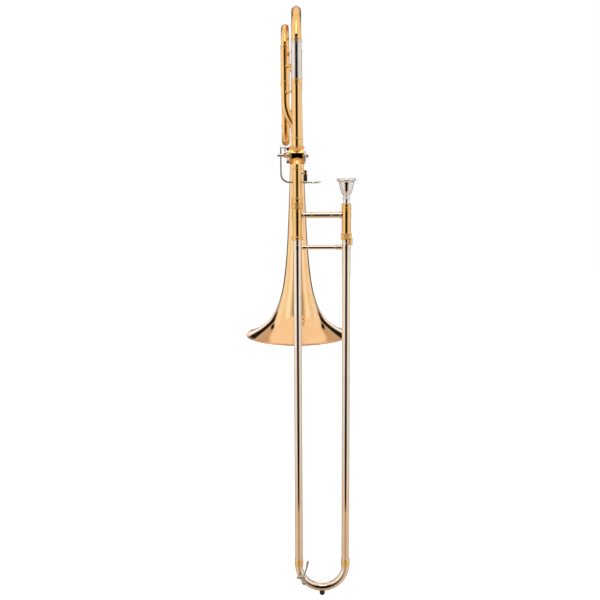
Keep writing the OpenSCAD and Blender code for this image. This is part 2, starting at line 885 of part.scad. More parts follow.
// Turning ring with a hook that catches the pin on the right outer tube
module slide_lock_ring() {
    ring_z0 = barrel_z0 + 1.8;
    color(yellow_brass)
    translate([right_x, neck_y, 0])
    difference() {
        union() {
            tube_core(0, 0, ring_z0, ring_z0 + 9.5, 10.4);
            tube_core(0, 0, ring_z0, ring_z0 + 1.6, 11);
            tube_core(0, 0, ring_z0 + 7.9, ring_z0 + 9.5, 11);
            rotate([0, 0, lock_hook_a])
            translate([10.2, -2.5, ring_z0 - 11.5])
            cube([2.2, 6, 14]);
            rotate([0, 0, lock_hook_a])
            translate([10.2, -7.5, ring_z0 - 11.5])
            cube([2.2, 6, 2.4]);
        }
        tube_core(0, 0, ring_z0 - 20, ring_z0 + 20, barrel_r + slide_fit);
        tube_core(0, 0, ring_z0 - 20, ring_z0 - 0.01, 10.1);
    }
}

// ---- mouthpiece ----

module mouthpiece() {
    rim_r = rim_d / 2;
    color(silver_plate)
    translate([right_x, neck_y, 0])
    rotate_extrude($fn = 96)
    polygon([
        [3.4, rim_z - 26], [4.6, rim_z - 23], [8.4, rim_z - 16], [11.4, rim_z - 8],
        [12.9, rim_z - 2.6], [13.9, rim_z - 0.6], [15.6, rim_z], [17.4, rim_z - 0.5],
        [rim_r - 0.4, rim_z - 1.8], [rim_r, rim_z - 3.6], [rim_r - 0.6, rim_z - 5.2],
        [rim_r - 2.6, rim_z - 6.8], [15, rim_z - 8.4], [13.6, rim_z - 11], [12.3, rim_z - 15],
        [11.2, rim_z - 20], [10.2, rim_z - 24.5], [8.8, rim_z - 28], [6.6, rim_z - 31],
        [5.9, rim_z - 34], [6.1, rim_z - 36.6], [7.6, rim_z - 37.4], [7.6, rim_z - 39.4],
        [6.3, rim_z - 40.4], [6.5, rim_z - 43.5], [6.2, rim_z - 48.5], [5.55, 264],
        [4.4, 264], [3.9, rim_z - 50]
    ]);
}

// ---- outer slide ----

module outer_tube(x) {
    tube(x, neck_y, crook_z, outer_top, outer_r, outer_r - 0.4);
}

module outer_tube_left() {
    color(nickel)
    outer_tube(0);
}

// The right outer tube carries the lock pin
module outer_tube_right() {
    color(nickel) {
        outer_tube(right_x);
        difference() {
            translate([right_x, neck_y, lock_pin_z])
            rotate([0, 0, lock_pin_a])
            bar_x(outer_r - 0.2, 12, 0, 0, 1.3);
            tube_core(right_x, neck_y, lock_pin_z - 10, lock_pin_z + 10, outer_r - 0.1);
        }
    }
}

// Right-hand brace between the outer tubes
module outer_brace() {
    color(nickel)
    difference() {
        union() {
            bar_x(6, right_x - 6, neck_y, outer_brace_z, 4);
            for (x = [0, right_x])
                tube_core(x, neck_y, outer_brace_z - 7, outer_brace_z + 5, outer_r + 0.8);
            for (x = [8, right_x - 20])
                bar_x(x, x + 12, neck_y, outer_brace_z, 4.7);
            for (x = [18.5, right_x - 20.5])
                bar_x(x, x + 2, neck_y, outer_brace_z, 5.5);
        }
        for (x = [0, right_x])
            tube_core(x, neck_y, outer_brace_z - 20, outer_brace_z + 20, outer_r + solder_gap);
    }
}

// Crook with its two ferrules and the drain nipple
module slide_crook() {
    color(nickel)
    difference() {
        union() {
            in_xz(crook_r, neck_y, crook_z)
            bend(crook_r, crook_tube_r, outer_r - 0.4, 180, 180);
            difference() {
                bar_y(key_cup_x, neck_y - 9, neck_y - 4, key_cup_z, 3);
                in_xz(crook_r, neck_y, crook_z)
                rotate_extrude(angle = 180, start = 180, $fn = 96)
                translate([crook_r, 0])
                circle(r = outer_r - 0.2);
            }
        }
        bar_y(key_cup_x, neck_y - 12, neck_y - 4, key_cup_z, 1.8);
    }
    color(yellow_brass)
    for (x = [0, right_x])
        ferrule(x, neck_y, crook_z, crook_z + 14, outer_r + 1.3, outer_r + solder_gap, 0.7);
}

// Rubber foot at the lowest point of the crook
module crook_bumper() {
    color(rubber_black)
    translate([crook_r, neck_y, 0])
    difference() {
        union() {
            tube_core(0, 0, bumper_z, bumper_z + 1, 4.8);
            tube_core(0, 0, bumper_z + 1, bumper_z + 11, 5.6);
        }
        in_xz(0, 0, crook_z)
        rotate_extrude(angle = 180, start = 180, $fn = 96)
        translate([crook_r, 0])
        circle(r = crook_tube_r + solder_gap);
    }
}

// ---- water key ----

// Saddle with two ears and the hinge screw
module water_key_saddle() {
    color(yellow_brass)
    difference() {
        union() {
            translate([-3.6, neck_y - 10, key_z - 4])
            cube([15.2, 7, 8]);
            for (x = [-3.6, 9.8]) {
                bar_x(x, x + 1.8, key_y, key_z, 2.9);
                translate([x, key_y, key_z - 2.9])
                cube([1.8, 6, 5.8]);
            }
        }
        in_xz(crook_r, neck_y, crook_z)
        rotate_extrude(angle = 180, start = 180, $fn = 96)
        translate([crook_r, 0])
        circle(r = crook_tube_r + solder_gap);
    }
    color(nickel) {
        bar_x(-3, 13.2, key_y, key_z, 1.2);
        bar_x(-5.8, -3.5, key_y, key_z, 2.5);
    }
}

// Lever with its hub, finger end and cork cup
module water_key_lever() {
    color(nickel)
    difference() {
        union() {
            bar_x(-1.4, 9.4, key_y, key_z, 2.6);
            bar([6.5, key_y - 1, key_z], [18, key_y - 1, crook_z + 10.5], 1.5);
            translate([18, key_y - 1, crook_z + 11])
            sphere(r = 3, $fn = 32);
            bar([6, key_y - 0.8, key_z], [key_cup_x, key_y - 0.8, key_cup_z], 1.6);
            bar_y(key_cup_x, key_y - 1, key_y + 3, key_cup_z, 4.3);
        }
        bar_x(-3, 11, key_y, key_z, 1.2 + slide_fit);
    }
    color("tan")
    bar_y(key_cup_x, key_y + 3, neck_y - 9.05, key_cup_z, 3.5);
}

bell();
bell_rim_wire();
tuning_sleeve_front();
tuning_sleeve_rear();
sleeve_ferrules();
upper_neckpipe();
lower_neckpipe();
neck_rings();
neck_receiver();
valve_casing();
valve_end_plate();
valve_back_plate();
valve_back_cap();
stop_bumpers();
f_valve_crook();
f_inner_loop();
f_lower_bow();
f_rear_tube();
f_gooseneck();
f_sleeves();
f_ferrules();
f_braces();
bell_brace_lower();
bell_brace_upper();
trigger_stop_arm();
trigger_stop_pad();
lever_screw();
lever_spring();
tuning_bow();
tuning_legs();
tuning_bow_ferrules();
tuning_brace();
f_bow();
f_slide_legs();
f_bow_ferrules();
f_slide_brace();
rotor();
stop_arm();
trigger_lever();
thumb_paddle();
link_rod();
bell_lock_nut();
slide_tenon();
cork_barrel_left();
cork_barrel_right();
inner_tube_left();
inner_tube_right();
leadpipe();
mouthpiece_receiver();
hand_brace();
barrel_corks();
slide_lock_ring();
mouthpiece();
outer_tube_left();
outer_tube_right();
outer_brace();
slide_crook();
crook_bumper();
water_key_saddle();
water_key_lever();
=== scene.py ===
import math
import bmesh
import bpy
from mathutils import Matrix, Vector


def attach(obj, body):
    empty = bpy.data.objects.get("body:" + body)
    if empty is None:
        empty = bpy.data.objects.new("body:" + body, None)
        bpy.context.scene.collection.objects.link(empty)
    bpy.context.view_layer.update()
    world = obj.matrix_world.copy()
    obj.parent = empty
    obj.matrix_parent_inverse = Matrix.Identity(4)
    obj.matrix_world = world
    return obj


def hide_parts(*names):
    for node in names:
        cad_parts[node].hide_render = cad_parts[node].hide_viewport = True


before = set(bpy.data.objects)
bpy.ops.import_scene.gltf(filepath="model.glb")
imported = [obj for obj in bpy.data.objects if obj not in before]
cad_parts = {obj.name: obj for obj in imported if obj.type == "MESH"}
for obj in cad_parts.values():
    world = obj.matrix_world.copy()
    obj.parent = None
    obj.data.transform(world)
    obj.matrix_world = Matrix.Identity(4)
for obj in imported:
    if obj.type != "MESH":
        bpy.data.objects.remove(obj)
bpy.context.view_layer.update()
MM = 0.001
BELL_BODY = "bell_section"

# ---- places and sizes of the part, in millimetres, as in the CAD source ----

NECK_Y = -156.0
RIGHT_X = 94.5
BELL_R = 110.0
BELL_L = 520.0
VALVE_Z = 380.0
VALVE_Y = -138.70
KNUCKLE_R = 12.0
KNUCKLE_DY = 5.303
KNUCKLE_TOP = 22.27
NECK_R = 8.2
BORE_R = 6.95
F_R = 7.65
F_X = -22.0
F_FRONT_Y = -121.40
F_REAR_Y = -45.40
F_LEGS_Y = (F_FRONT_Y, F_REAR_Y)
F_MID_Y = -95.40
F_RISE_Y = -63.45
F_LOOP_R = 19.395
F_LOOP_Z = 531.455
F_LOW_Z = 431.65
F_NECK_R = 68.18
F_NECK_A = 33.0
F_NECK_TOP = 484.0
F_NECK_BOTTOM = 409.73
F_SLEEVE = (517.0, 583.5)
F_BOW_Z = 587.5
F_BOW_R = 38.0
CROOK_F = (-99.45, 391.67, 36.0)
SLEEVE = (522.0, 591.7)
BOW_Z = 592.0
BOW_R = 64.0
LEG_FRONT_R = 9.2
LEG_REAR_R = 11.0
HINGE = (-112.0, 380.5)
TIP = (-115.88, 394.99)
STOP_PIN = (-142.58, 383.88)
THUMB_Z = 328.0
SLIDE_CROOK_Z = -450.0
SLIDE_CROOK_R = 47.25
FOOT_Z = -513.95
RIM_Z = 336.5
KEY = (-169.5, -469.5)
KEY_HOLE_X = 10
KEY_HOLE_Z = -482
THUMB_STOP = (16.5, -105.5)
BELL_WALL = 0.6
CAMERA_LENS = 49.86
CAMERA_SPOT = (0, -1.756, 0.372)
CAMERA_TURN = (90 - 8.25, 0.28, -0.21)
CAMERA_SHIFT = -1 / 30
CARD_Y = -1.85
FLOOR_HALF = 9.0
FLOOR_Z = -1.13

# ---- meshes: a shell is a list of points and a list of faces ----


def fillet(outline, radius, steps=4):
    """Closed outline with its corners rounded; a corner may carry its own radius as a third number."""
    out = []
    for i, corner in enumerate(outline):
        here = Vector(corner[:2])
        before = Vector(outline[i - 1][:2]) - here
        after = Vector(outline[(i + 1) % len(outline)][:2]) - here
        r = corner[2] if len(corner) > 2 else radius
        angle = before.angle(after, math.pi)
        if r <= 0 or here.x < 1e-6 or angle > math.radians(172):
            out.append(here)
            continue
        reach = min(r / math.tan(angle / 2), 0.45 * before.length, 0.45 * after.length)
        start = here + before.normalized() * reach
        end = here + after.normalized() * reach
        for k in range(steps + 1):
            u = k / steps
            out.append(start * (1 - u) ** 2 + here * 2 * u * (1 - u) + end * u * u)
    return out


def held(outline, near=0.5):
    """Outline with two more points on each long run, so that its shading stays straight between the ends."""
    out = []
    for i, p in enumerate(outline):
        start, end = Vector(p), Vector(outline[(i + 1) % len(outline)])
        out.append(start)
        if (end - start).length > 6 * near and max(start.x, end.x) > 1e-6:
            step = (end - start).normalized() * near
            out += [start + step, end - step]
    return out


def lathe(outline, segments=96, wave=None):
    """Closed outline of (radius, height) turned about Z. A wave of (count, depth, least radius) mills it."""
    points, faces, rings = [], [], []
    for r, z in held(outline):
        if r < 1e-6:
            rings.append([len(points)])
            points.append(Vector((0, 0, z)))
            continue
        ring = []
        for k in range(segments):
            a = 2 * math.pi * k / segments
            cut = 0.0
            if wave and r >= wave[2]:
                cut = wave[1] * (0.5 - 0.5 * math.cos(wave[0] * a))
            ring.append(len(points))
            points.append(Vector(((r - cut) * math.cos(a), (r - cut) * math.sin(a), z)))
        rings.append(ring)
    for i, a in enumerate(rings):
        b = rings[(i + 1) % len(rings)]
        if len(a) == 1 and len(b) == 1:
            continue
        for k in range(segments):
            n = (k + 1) % segments
            if len(a) == 1:
                faces.append((a[0], b[n], b[k]))
            elif len(b) == 1:
                faces.append((a[k], a[n], b[0]))
            else:
                faces.append((a[k], a[n], b[n], b[k]))
    return points, faces


def moved(shell, matrix):
    return [matrix @ p for p in shell[0]], shell[1]


def at(x, y, z):
    return Matrix.Translation((x, y, z))


def along(a, b):
    """Turns Z to run from point a to point b, with the origin at a."""
    return Matrix.Translation(a) @ (Vector(b) - Vector(a)).to_track_quat("Z", "Y").to_matrix().to_4x4()


def along_x(x, y, z):
    return Matrix.Translation((x, y, z)) @ Matrix.Rotation(math.pi / 2, 4, "Y")


def arc(centre, radius, u, v, a0, a1, count=24):
    """Points on an arc in the plane of the directions u and v."""
    out = []
    for k in range(count + 1):
        a = math.radians(a0 + (a1 - a0) * k / count)
        out.append(Vector(centre) + Vector(u) * radius * math.cos(a) + Vector(v) * radius * math.sin(a))
    return out


def arc_yz(x, y, z, radius, a0, a1, count=24):
    return arc((x, y, z), radius, (0, 1, 0), (0, 0, 1), a0, a1, count)


def arc_xz(x, y, z, radius, a0, a1, count=24):
    return arc((x, y, z), radius, (1, 0, 0), (0, 0, 1), a0, a1, count)


def route(*parts):
    """One list of points without repeats."""
    out = []
    for part in parts:
        for p in part:
            p = Vector(p)
            if not out or (p - out[-1]).length > 1e-3:
                out.append(p)
    return out


def lengths(path):
    out = [0.0]
    for a, b in zip(path, path[1:]):
        out.append(out[-1] + (b - a).length)
    return out


def frames(path):
    """Direction and two cross directions at each point, carried along without twist."""
    out, cross = [], None
    for i in range(len(path)):
        ahead = path[min(i + 1, len(path) - 1)]
        behind = path[max(i - 1, 0)]
        t = (ahead - behind).normalized()
        if cross is None:
            cross = t.orthogonal().normalized()
            if abs(t.x) < 0.9:
                cross = (Vector((1, 0, 0)) - t * t.x).normalized()
        cross = (cross - t * cross.dot(t)).normalized()
        out.append((t, cross, t.cross(cross)))
    return out


def ring_at(p, axes, a, b, power, segments):
    """Points round a section of half widths a and b; power 2 is an ellipse, more is squarer."""
    out = []
    for k in range(segments):
        w = 2 * math.pi * k / segments
        c, s = math.cos(w), math.sin(w)
        x = a * math.copysign(abs(c) ** (2 / power), c)
        y = b * math.copysign(abs(s) ** (2 / power), s)
        out.append(p + axes[1] * x + axes[2] * y)
    return out


def band(a, b, count):
    """Faces between two rings of as many points, whose first points are a and b."""
    faces = []
    for k in range(count):
        n = (k + 1) % count
        faces.append((a + k, a + n, b + n, b + k))
    return faces


def skin(rings, segments):
    points = [p for ring in rings for p in ring]
    faces = []
    for i in range(len(rings)):
        faces += band(i * segments, (i + 1) % len(rings) * segments, segments)
    return points, faces


def hollow(path, outer, wall, segments=64):
    """Tube along a path; outer is its radius, or its first and last radius for a taper."""
    first, last = outer if isinstance(outer, tuple) else (outer, outer)
    run = lengths(path)
    out, inside = [], []
    for p, axes, s in zip(path, frames(path), run):
        r = first + (last - first) * s / run[-1]
        out.append(ring_at(p, axes, r, r, 2, segments))
        inside.append(ring_at(p, axes, r - wall, r - wall, 2, segments))
    return skin(out + inside[::-1], segments)


def round_end(p, axes, size, power, side, tip, segments):
    """Rings that shrink away from the end of a bar; side is -1 before its start and 1 after its end."""
    small = min(size) * tip
    rings = []
    for k in range(1, 5):
        w = math.pi / 2 * k / 5
        shift = p + axes[0] * side * small * math.sin(w)
        a, b = [half - small + small * math.cos(w) for half in size]
        rings.append(ring_at(shift, axes, a, b, power, segments))
    return rings


def bar(path, sizes, segments=24, power=2, tip=0.6):
    """Solid bar along a path with round ends; sizes are half widths (a, b) at each point or one pair."""
    each = sizes if isinstance(sizes, list) else [sizes] * len(path)
    powers = power if isinstance(power, list) else [power] * len(path)
    axes = frames(path)
    caps = []
    for i, side in ((0, -1), (-1, 1)):
        caps.append(round_end(path[i], axes[i], each[i], powers[i], side, tip, segments))
    rings = caps[0][::-1]
    for p, ax, size, pw in zip(path, axes, each, powers):
        rings.append(ring_at(p, ax, size[0], size[1], pw, segments))
    rings += caps[1]
    points = [p for ring in rings for p in ring]
    faces = []
    for i in range(len(rings) - 1):
        faces += band(i * segments, (i + 1) * segments, segments)
    for base, ring in ((0, rings[0]), ((len(rings) - 1) * segments, rings[-1])):
        centre = sum(ring, Vector()) / segments
        points.append(centre)
        for k in range(segments):
            faces.append((base + k, base + (k + 1) % segments, len(points) - 1))
    return points, faces


def block(size, edge):
    """Box of full size (x, y, z) about its centre, with rounded edges."""
    bm = bmesh.new()
    bmesh.ops.create_cube(bm, size=1)
    bmesh.ops.scale(bm, vec=size, verts=bm.verts)
    bmesh.ops.bevel(bm, geom=bm.edges[:], offset=edge, segments=3, affect="EDGES", profile=0.6)
    points = [v.co.copy() for v in bm.verts]
    faces = [tuple(v.index for v in f.verts) for f in bm.faces]
    bm.free()
    return points, faces


def polar_block(r0, r1, a0, a1, z0, z1, edge, count=12):
    """Block bent round the Z axis between two radii and two angles."""
    points, faces = [], []
    outline = fillet([(r0, z0), (r1, z0), (r1, z1), (r0, z1)], edge, 3)
    n = len(outline)
    for i in range(count + 1):
        a = math.radians(a0 + (a1 - a0) * i / count)
        for r, z in outline:
            points.append(Vector((r * math.cos(a), r * math.sin(a), z)))
    for i in range(count):
        faces += band(i * n, (i + 1) * n, n)
    faces.append(tuple(range(n)))
    faces.append(tuple(count * n + k for k in range(n)))
    return points, faces


def smooth_run(outline, steps, least=None):
    """Catmull-Rom curve through an open run of points; after the first, radii stay at least the given one."""
    out, n = [], len(outline)
    for i in range(n - 1):
        p = [Vector(outline[max(0, min(n - 1, i + k - 1))]) for k in range(4)]
        for k in range(steps):
            t = k / steps
            a = p[1] * 2 + (p[2] - p[0]) * t
            b = (p[0] * 2 - p[1] * 5 + p[2] * 4 - p[3]) * t * t
            c = (p[1] * 3 - p[0] - p[2] * 3 + p[3]) * t * t * t
            q = (a + b + c) * 0.5
            if least is not None and (i or k):
                q.x = max(q.x, least)
            out.append(q)
    out.append(Vector(outline[-1]))
    return out


# ---- finishes ----


class Nodes:
    """Small helper for building a node tree."""

    def __init__(self, tree):
        self.tree = tree
        tree.nodes.clear()

    def end(self, kind, socket):
        out = self.add(kind)
        self.put(out.inputs["Surface"], socket)

    def add(self, kind, inputs=(), **settings):
        node = self.tree.nodes.new(kind)
        for key, value in settings.items():
            setattr(node, key, value)
        for key, value in dict(inputs).items():
            self.put(node.inputs[key], value)
        return node

    def put(self, socket, value):
        if isinstance(value, bpy.types.NodeSocket):
            self.tree.links.new(value, socket)
        else:
            socket.default_value = value

    def math(self, operation, a, b=0.0):
        node = self.add("ShaderNodeMath", operation=operation)
        self.put(node.inputs[0], a)
        self.put(node.inputs[1], b)
        return node.outputs[0]

    def step(self, value, low, high, out_low=0.0, out_high=1.0):
        node = self.add("ShaderNodeMapRange", interpolation_type="SMOOTHSTEP")
        for key, number in (("Value", value), ("From Min", low), ("From Max", high)):
            self.put(node.inputs[key], number)
        self.put(node.inputs["To Min"], out_low)
        self.put(node.inputs["To Max"], out_high)
        return node.outputs[0]

    def patch(self, aside, rise, wide, tall, soft):
        """1 inside a window of two angles, fading to 0 over a soft edge."""
        out = None
        for value, (low, high) in ((aside, wide), (rise, tall)):
            for a, b in ((low - soft / 2, low + soft / 2), (high + soft / 2, high - soft / 2)):
                edge = self.step(value, a, b)
                out = edge if out is None else self.math("MULTIPLY", out, edge)
        return out

    def mix(self, factor, a, b):
        node = self.add("ShaderNodeMix", data_type="RGBA")
        self.put(node.inputs[0], factor)
        self.put(node.inputs[6], a)
        self.put(node.inputs[7], b)
        return node.outputs[2]

    def noise(self, vector, scale, detail=4.0, rough=0.55):
        node = self.add("ShaderNodeTexNoise", {"Scale": scale, "Detail": detail, "Roughness": rough})
        self.put(node.inputs["Vector"], vector)
        return node.outputs["Fac"]

    def place(self, stretch=(1, 1, 1)):
        coord = self.add("ShaderNodeTexCoord")
        node = self.add("ShaderNodeMapping", {"Scale": stretch})
        self.put(node.inputs["Vector"], coord.outputs["Object"])
        return node.outputs[0]


def new_material(name):
    material = bpy.data.materials.new(name)
    material.use_nodes = True
    return material, Nodes(material.node_tree)


def shade(rgb, factor):
    return tuple(min(1.0, c * factor) for c in rgb[:3]) + (1.0,)


def plated(name, base, deep, rough, coat, scratch=0.03, cloud=0.30):
    """Polished metal: cloudy colour, painted shade darkening its corners, hairline scratches and handling
    marks.
    """
    material, n = new_material(name)
    place = n.place()
    drawn = n.place((1.0, 1.0, 0.06))
    clouds = n.noise(place, 38.0, 5.0)
    spots = n.noise(place, 420.0, 3.0, 0.6)
    hairs = n.noise(drawn, 2600.0, 3.0, 0.7)
    prints = n.noise(place, 95.0, 6.0, 0.65)
    corner = n.add("ShaderNodeNewGeometry").outputs["Pointiness"]
    # painted shade: concave corners, read from the mesh's pointiness, are darkened towards the deep colour
    painted_corner_shade = n.step(corner, 0.485, 0.44)
    tone = n.mix(n.step(clouds, 0.35, 0.70, 0.0, cloud), shade(base, 1.0), shade(deep, 1.0))
    tone = n.mix(n.step(spots, 0.66, 0.78, 0.0, 0.22), tone, shade(deep, 0.8))
    tone = n.mix(n.math("MULTIPLY", painted_corner_shade, 0.55), tone, shade(deep, 0.62))
    gloss = n.math("ADD", n.step(prints, 0.45, 0.75, rough, rough * 2.1), n.step(hairs, 0.5, 0.9, 0.0, 0.02))
    bump = n.add("ShaderNodeBump", {"Strength": scratch, "Distance": 0.00012})
    n.put(bump.inputs["Height"], n.math("ADD", hairs, n.math("MULTIPLY", spots, 0.4)))
    shader = n.add("ShaderNodeBsdfPrincipled")
    n.put(shader.inputs["Base Color"], tone)
    n.put(shader.inputs["Roughness"], gloss)
    n.put(shader.inputs["Normal"], bump.outputs[0])
    n.put(shader.inputs["Metallic"], 1.0)
    n.put(shader.inputs["Coat Weight"], coat)
    n.put(shader.inputs["Coat Roughness"], 0.04)
    n.put(shader.inputs["Coat IOR"], 1.45)
    n.end("ShaderNodeOutputMaterial", shader.outputs[0])
    return material


def soft_stuff(name, base, deep, rough, grain, depth):
    """Rubber or cork: grained, dull, and paler where it is rubbed."""
    material, n = new_material(name)
    place = n.place()
    cells = n.add("ShaderNodeTexVoronoi", {"Scale": grain})
    n.put(cells.inputs["Vector"], place)
    clouds = n.noise(place, grain * 0.3, 5.0)
    edge = n.add("ShaderNodeNewGeometry").outputs["Pointiness"]
    tone = n.mix(n.step(clouds, 0.3, 0.7), shade(base, 1.0), shade(deep, 1.0))
    tone = n.mix(n.step(cells.outputs["Distance"], 0.25, 0.6, 0.0, 0.5), tone, shade(deep, 0.7))
    tone = n.mix(n.step(edge, 0.52, 0.58, 0.0, 0.35), tone, shade(base, 1.9))
    bump = n.add("ShaderNodeBump", {"Strength": 0.5, "Distance": depth})
    n.put(bump.inputs["Height"], n.math("ADD", cells.outputs["Distance"], clouds))
    shader = n.add("ShaderNodeBsdfPrincipled")
    n.put(shader.inputs["Base Color"], tone)
    n.put(shader.inputs["Roughness"], n.step(clouds, 0.2, 0.8, rough - 0.1, rough + 0.1))
    n.put(shader.inputs["Normal"], bump.outputs[0])
    n.end("ShaderNodeOutputMaterial", shader.outputs[0])
    return material


FINISHES = {
    "gold_brass": plated("gold_brass_lacquer", (0.93, 0.56, 0.20), (0.80, 0.42, 0.12), 0.030, 0.8),
    "bell_brass": plated("bell_brass_lacquer", (0.96, 0.61, 0.29), (0.87, 0.48, 0.19), 0.028, 0.8),
    "yellow_brass": plated("yellow_brass_lacquer", (0.91, 0.55, 0.18), (0.76, 0.40, 0.10), 0.034, 0.6),
    "collar_brass": plated("collar_brass_satin", (0.90, 0.66, 0.28), (0.80, 0.54, 0.18), 0.12, 0.3),
    "key_nickel": plated("key_nickel_polish", (0.50, 0.52, 0.50), (0.36, 0.37, 0.35), 0.05, 0.0),
    "lever_nickel": plated("lever_nickel_polish", (0.80, 0.82, 0.78), (0.60, 0.62, 0.58), 0.04, 0.0),
    "rose_brass": plated("rose_brass_lacquer", (0.84, 0.44, 0.22), (0.66, 0.30, 0.12), 0.045, 0.4),
    "nickel_silver": plated("nickel_silver_polish", (0.90, 0.75, 0.60), (0.74, 0.58, 0.44), 0.028, 0.0),
    "silver_plate": plated("silver_plate_polish", (0.87, 0.90, 0.90), (0.70, 0.68, 0.64), 0.095, 0.0),
    "sleeve_nickel": plated("sleeve_nickel_satin", (0.78, 0.70, 0.63), (0.64, 0.56, 0.49), 0.13, 0.0),
    "valve_bronze": plated("valve_bronze_turned", (0.62, 0.42, 0.24), (0.45, 0.28, 0.14), 0.20, 0.0, 0.2),
    "black_rubber": soft_stuff(
        "black_rubber_moulded", (0.008, 0.008, 0.008), (0.004, 0.004, 0.004), 0.42, 2200, 0.00008
    ),
    "cork_felt": soft_stuff("cork_pressed", (0.50, 0.32, 0.16), (0.28, 0.16, 0.07), 0.85, 1400, 0.0003),
}


def piece(name, shells, body, finish, nodes=(), sharp=38):
    """Makes one object of its shells, rides it on its body and hides the CAD nodes it stands for."""
    points, faces = [], []
    for shell_points, shell_faces in shells:
        start = len(points)
        points += [p * MM for p in shell_points]
        faces += [tuple(i + start for i in face) for face in shell_faces]
    mesh = bpy.data.meshes.new(name)
    mesh.from_pydata(points, [], faces)
    bm = bmesh.new()
    bm.from_mesh(mesh)
    bmesh.ops.recalc_face_normals(bm, faces=bm.faces)
    bm.to_mesh(mesh)
    bm.free()
    mesh.shade_smooth()
    mesh.set_sharp_from_angle(angle=math.radians(sharp))
    obj = bpy.data.objects.new(name, mesh)
    bpy.context.scene.collection.objects.link(obj)
    mesh.materials.append(FINISHES[finish])
    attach(obj, body)
    if nodes:
        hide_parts(*nodes)
    return obj


# ---- shapes used again and again ----


def turned(outline, place, edge=0.3, segments=96, wave=None):
    """Closed outline with its corners rounded, turned about Z and put in its place."""
    return moved(lathe(fillet(outline, edge, 3), segments, wave), place)


def pipe(x, y, z0, z1, outer, inner, edge=0.25):
    """Upright straight tube with softened ends."""
    return turned([(inner, z0), (outer, z0), (outer, z1), (inner, z1)], at(x, y, 0), edge)


def collar(x, y, z0, z1, outer, inner, bead, beads=1, edge=0.35):
    """Ferrule with raised beads, spread evenly over its height."""
    outline = [(inner, z0), (outer, z0)]
    width = min(1.7, (z1 - z0) * 0.4)
    for k in range(beads):
        z = z0 + (z1 - z0) * (k + 0.5) / beads
        outline += [(outer, z - width / 2), (outer + bead, z - width / 2)]
        outline += [(outer + bead, z + width / 2), (outer, z + width / 2)]
    outline += [(outer, z1), (inner, z1)]
    return turned(outline, at(x, y, 0), edge)


def strut(a, b, ra, rb, r, foot):
    """Brace between two tubes of radius ra and rb whose axes pass through a and b."""
    span = (Vector(b) - Vector(a)).length
    s0, s1 = ra - 1.2, span - rb + 1.2
    plate = 2.6
    outline = [
        (0, s0), (foot, s0), (foot, s0 + plate + 0.4, 0.7),
        (foot * 0.62 + r * 0.38, s0 + plate + 1.0, 1.2), (r + 0.5, s0 + plate + 3.2, 1.5),
        (r, s0 + plate + 5.5, 2),
        (r, (s0 + s1) / 2 - 1.6), (r + 1.0, (s0 + s1) / 2 - 1.0), (r + 1.0, (s0 + s1) / 2 + 1.0),
        (r, (s0 + s1) / 2 + 1.6), (r, s1 - plate - 5.5, 2), (r + 0.5, s1 - plate - 3.2, 1.5),
        (foot * 0.62 + r * 0.38, s1 - plate - 1.0, 1.2), (foot, s1 - plate - 0.4, 0.7), (foot, s1),
        (0, s1),
    ]
    return turned(outline, along(a, b), 0.5, 64)


def short_strut(a, b, ra, rb, r, foot):
    """Stub brace between two tubes that lie close together."""
    span = (Vector(b) - Vector(a)).length
    s0, s1 = ra - 1.2, span - rb + 1.2
    outline = [(0, s0), (foot, s0), (foot, s0 + 2.4), (r, s0 + 3.4, 0.8), (r, s1 - 3.4, 0.8)]
    outline += [(foot, s1 - 2.4), (foot, s1), (0, s1)]
    return turned(outline, along(a, b), 0.5, 64)


def rod(a, b, r, edge=0.4, segments=40):
    """Round solid rod between two points, with softened ends."""
    span = (Vector(b) - Vector(a)).length
    return turned([(0, 0), (r, 0), (r, span), (0, span)], along(a, b), edge, segments)


def rod_x(x0, x1, y, z, r, edge=0.4):
    return rod((x0, y, z), (x1, y, z), r, edge)


def ring_x(x0, x1, y, z, outer, inner, edge=0.3):
    """Flat ring or bush along X."""
    span = x1 - x0
    return turned([(inner, 0), (outer, 0), (outer, span), (inner, span)], along_x(x0, y, z), edge, 64)


# ---- bell section ----


def bell_radius(z):
    """Bell outline: a flare that fades into a slow taper."""
    return (BELL_R - 19.4) * (80.0 / (z + 80.0)) ** 2.22 + 19.4 - 0.0182 * z


def bell():
    rings = 110
    heights = [BELL_L * (i / rings) ** 1.9 for i in range(rings + 1)]
    outer = [Vector((bell_radius(z), z)) for z in heights]
    inner = [Vector((bell_radius(z) - BELL_WALL, z)) for z in reversed(heights)]
    piece("bell_sheet", [lathe(outer + inner, 192)], BELL_BODY, "bell_brass", ["bell"])
    bead, count = [], 28
    for k in range(count):
        a = 2 * math.pi * k / count
        bead.append(Vector((109.6 + 1.6 * math.cos(a), 1.6 * math.sin(a))))
    fold = fillet([(106.2, 0.9), (108.9, -0.7), (109.4, 0.4), (106.6, 2.2)], 0.3, 3)
    shells = [lathe(bead, 192), lathe(fold, 192)]
    piece("bell_rim_roll", shells, BELL_BODY, "rose_brass", ["bell_rim_wire"])
    tail = bell_radius(BELL_L - 8) + 0.05
    shells = [
        collar(0, NECK_Y, BELL_L - 8, SLEEVE[0], LEG_FRONT_R + 0.9, NECK_R + 0.05, 0.3, 2),
        collar(0, 0, BELL_L - 8, SLEEVE[0], LEG_REAR_R + 0.8, tail, 0.25, 2),
    ]
    piece("sleeve_collars", shells, BELL_BODY, "gold_brass", ["sleeve_ferrules"])


def tuning_sleeve(name, y, leg_r, node):
    wall, fit = 0.8, 0.06
    outline = [
        (leg_r + fit, SLEEVE[0]), (leg_r + wall + fit, SLEEVE[0]),
        (leg_r + wall + fit, SLEEVE[1] - 3.2), (leg_r + 1.5, SLEEVE[1] - 3.0),
        (leg_r + 1.5, SLEEVE[1]), (leg_r + fit, SLEEVE[1]),
    ]
    shell = turned(outline, at(0, y, 0), 0.35)
    piece(name, [shell], BELL_BODY, "sleeve_nickel", [node])


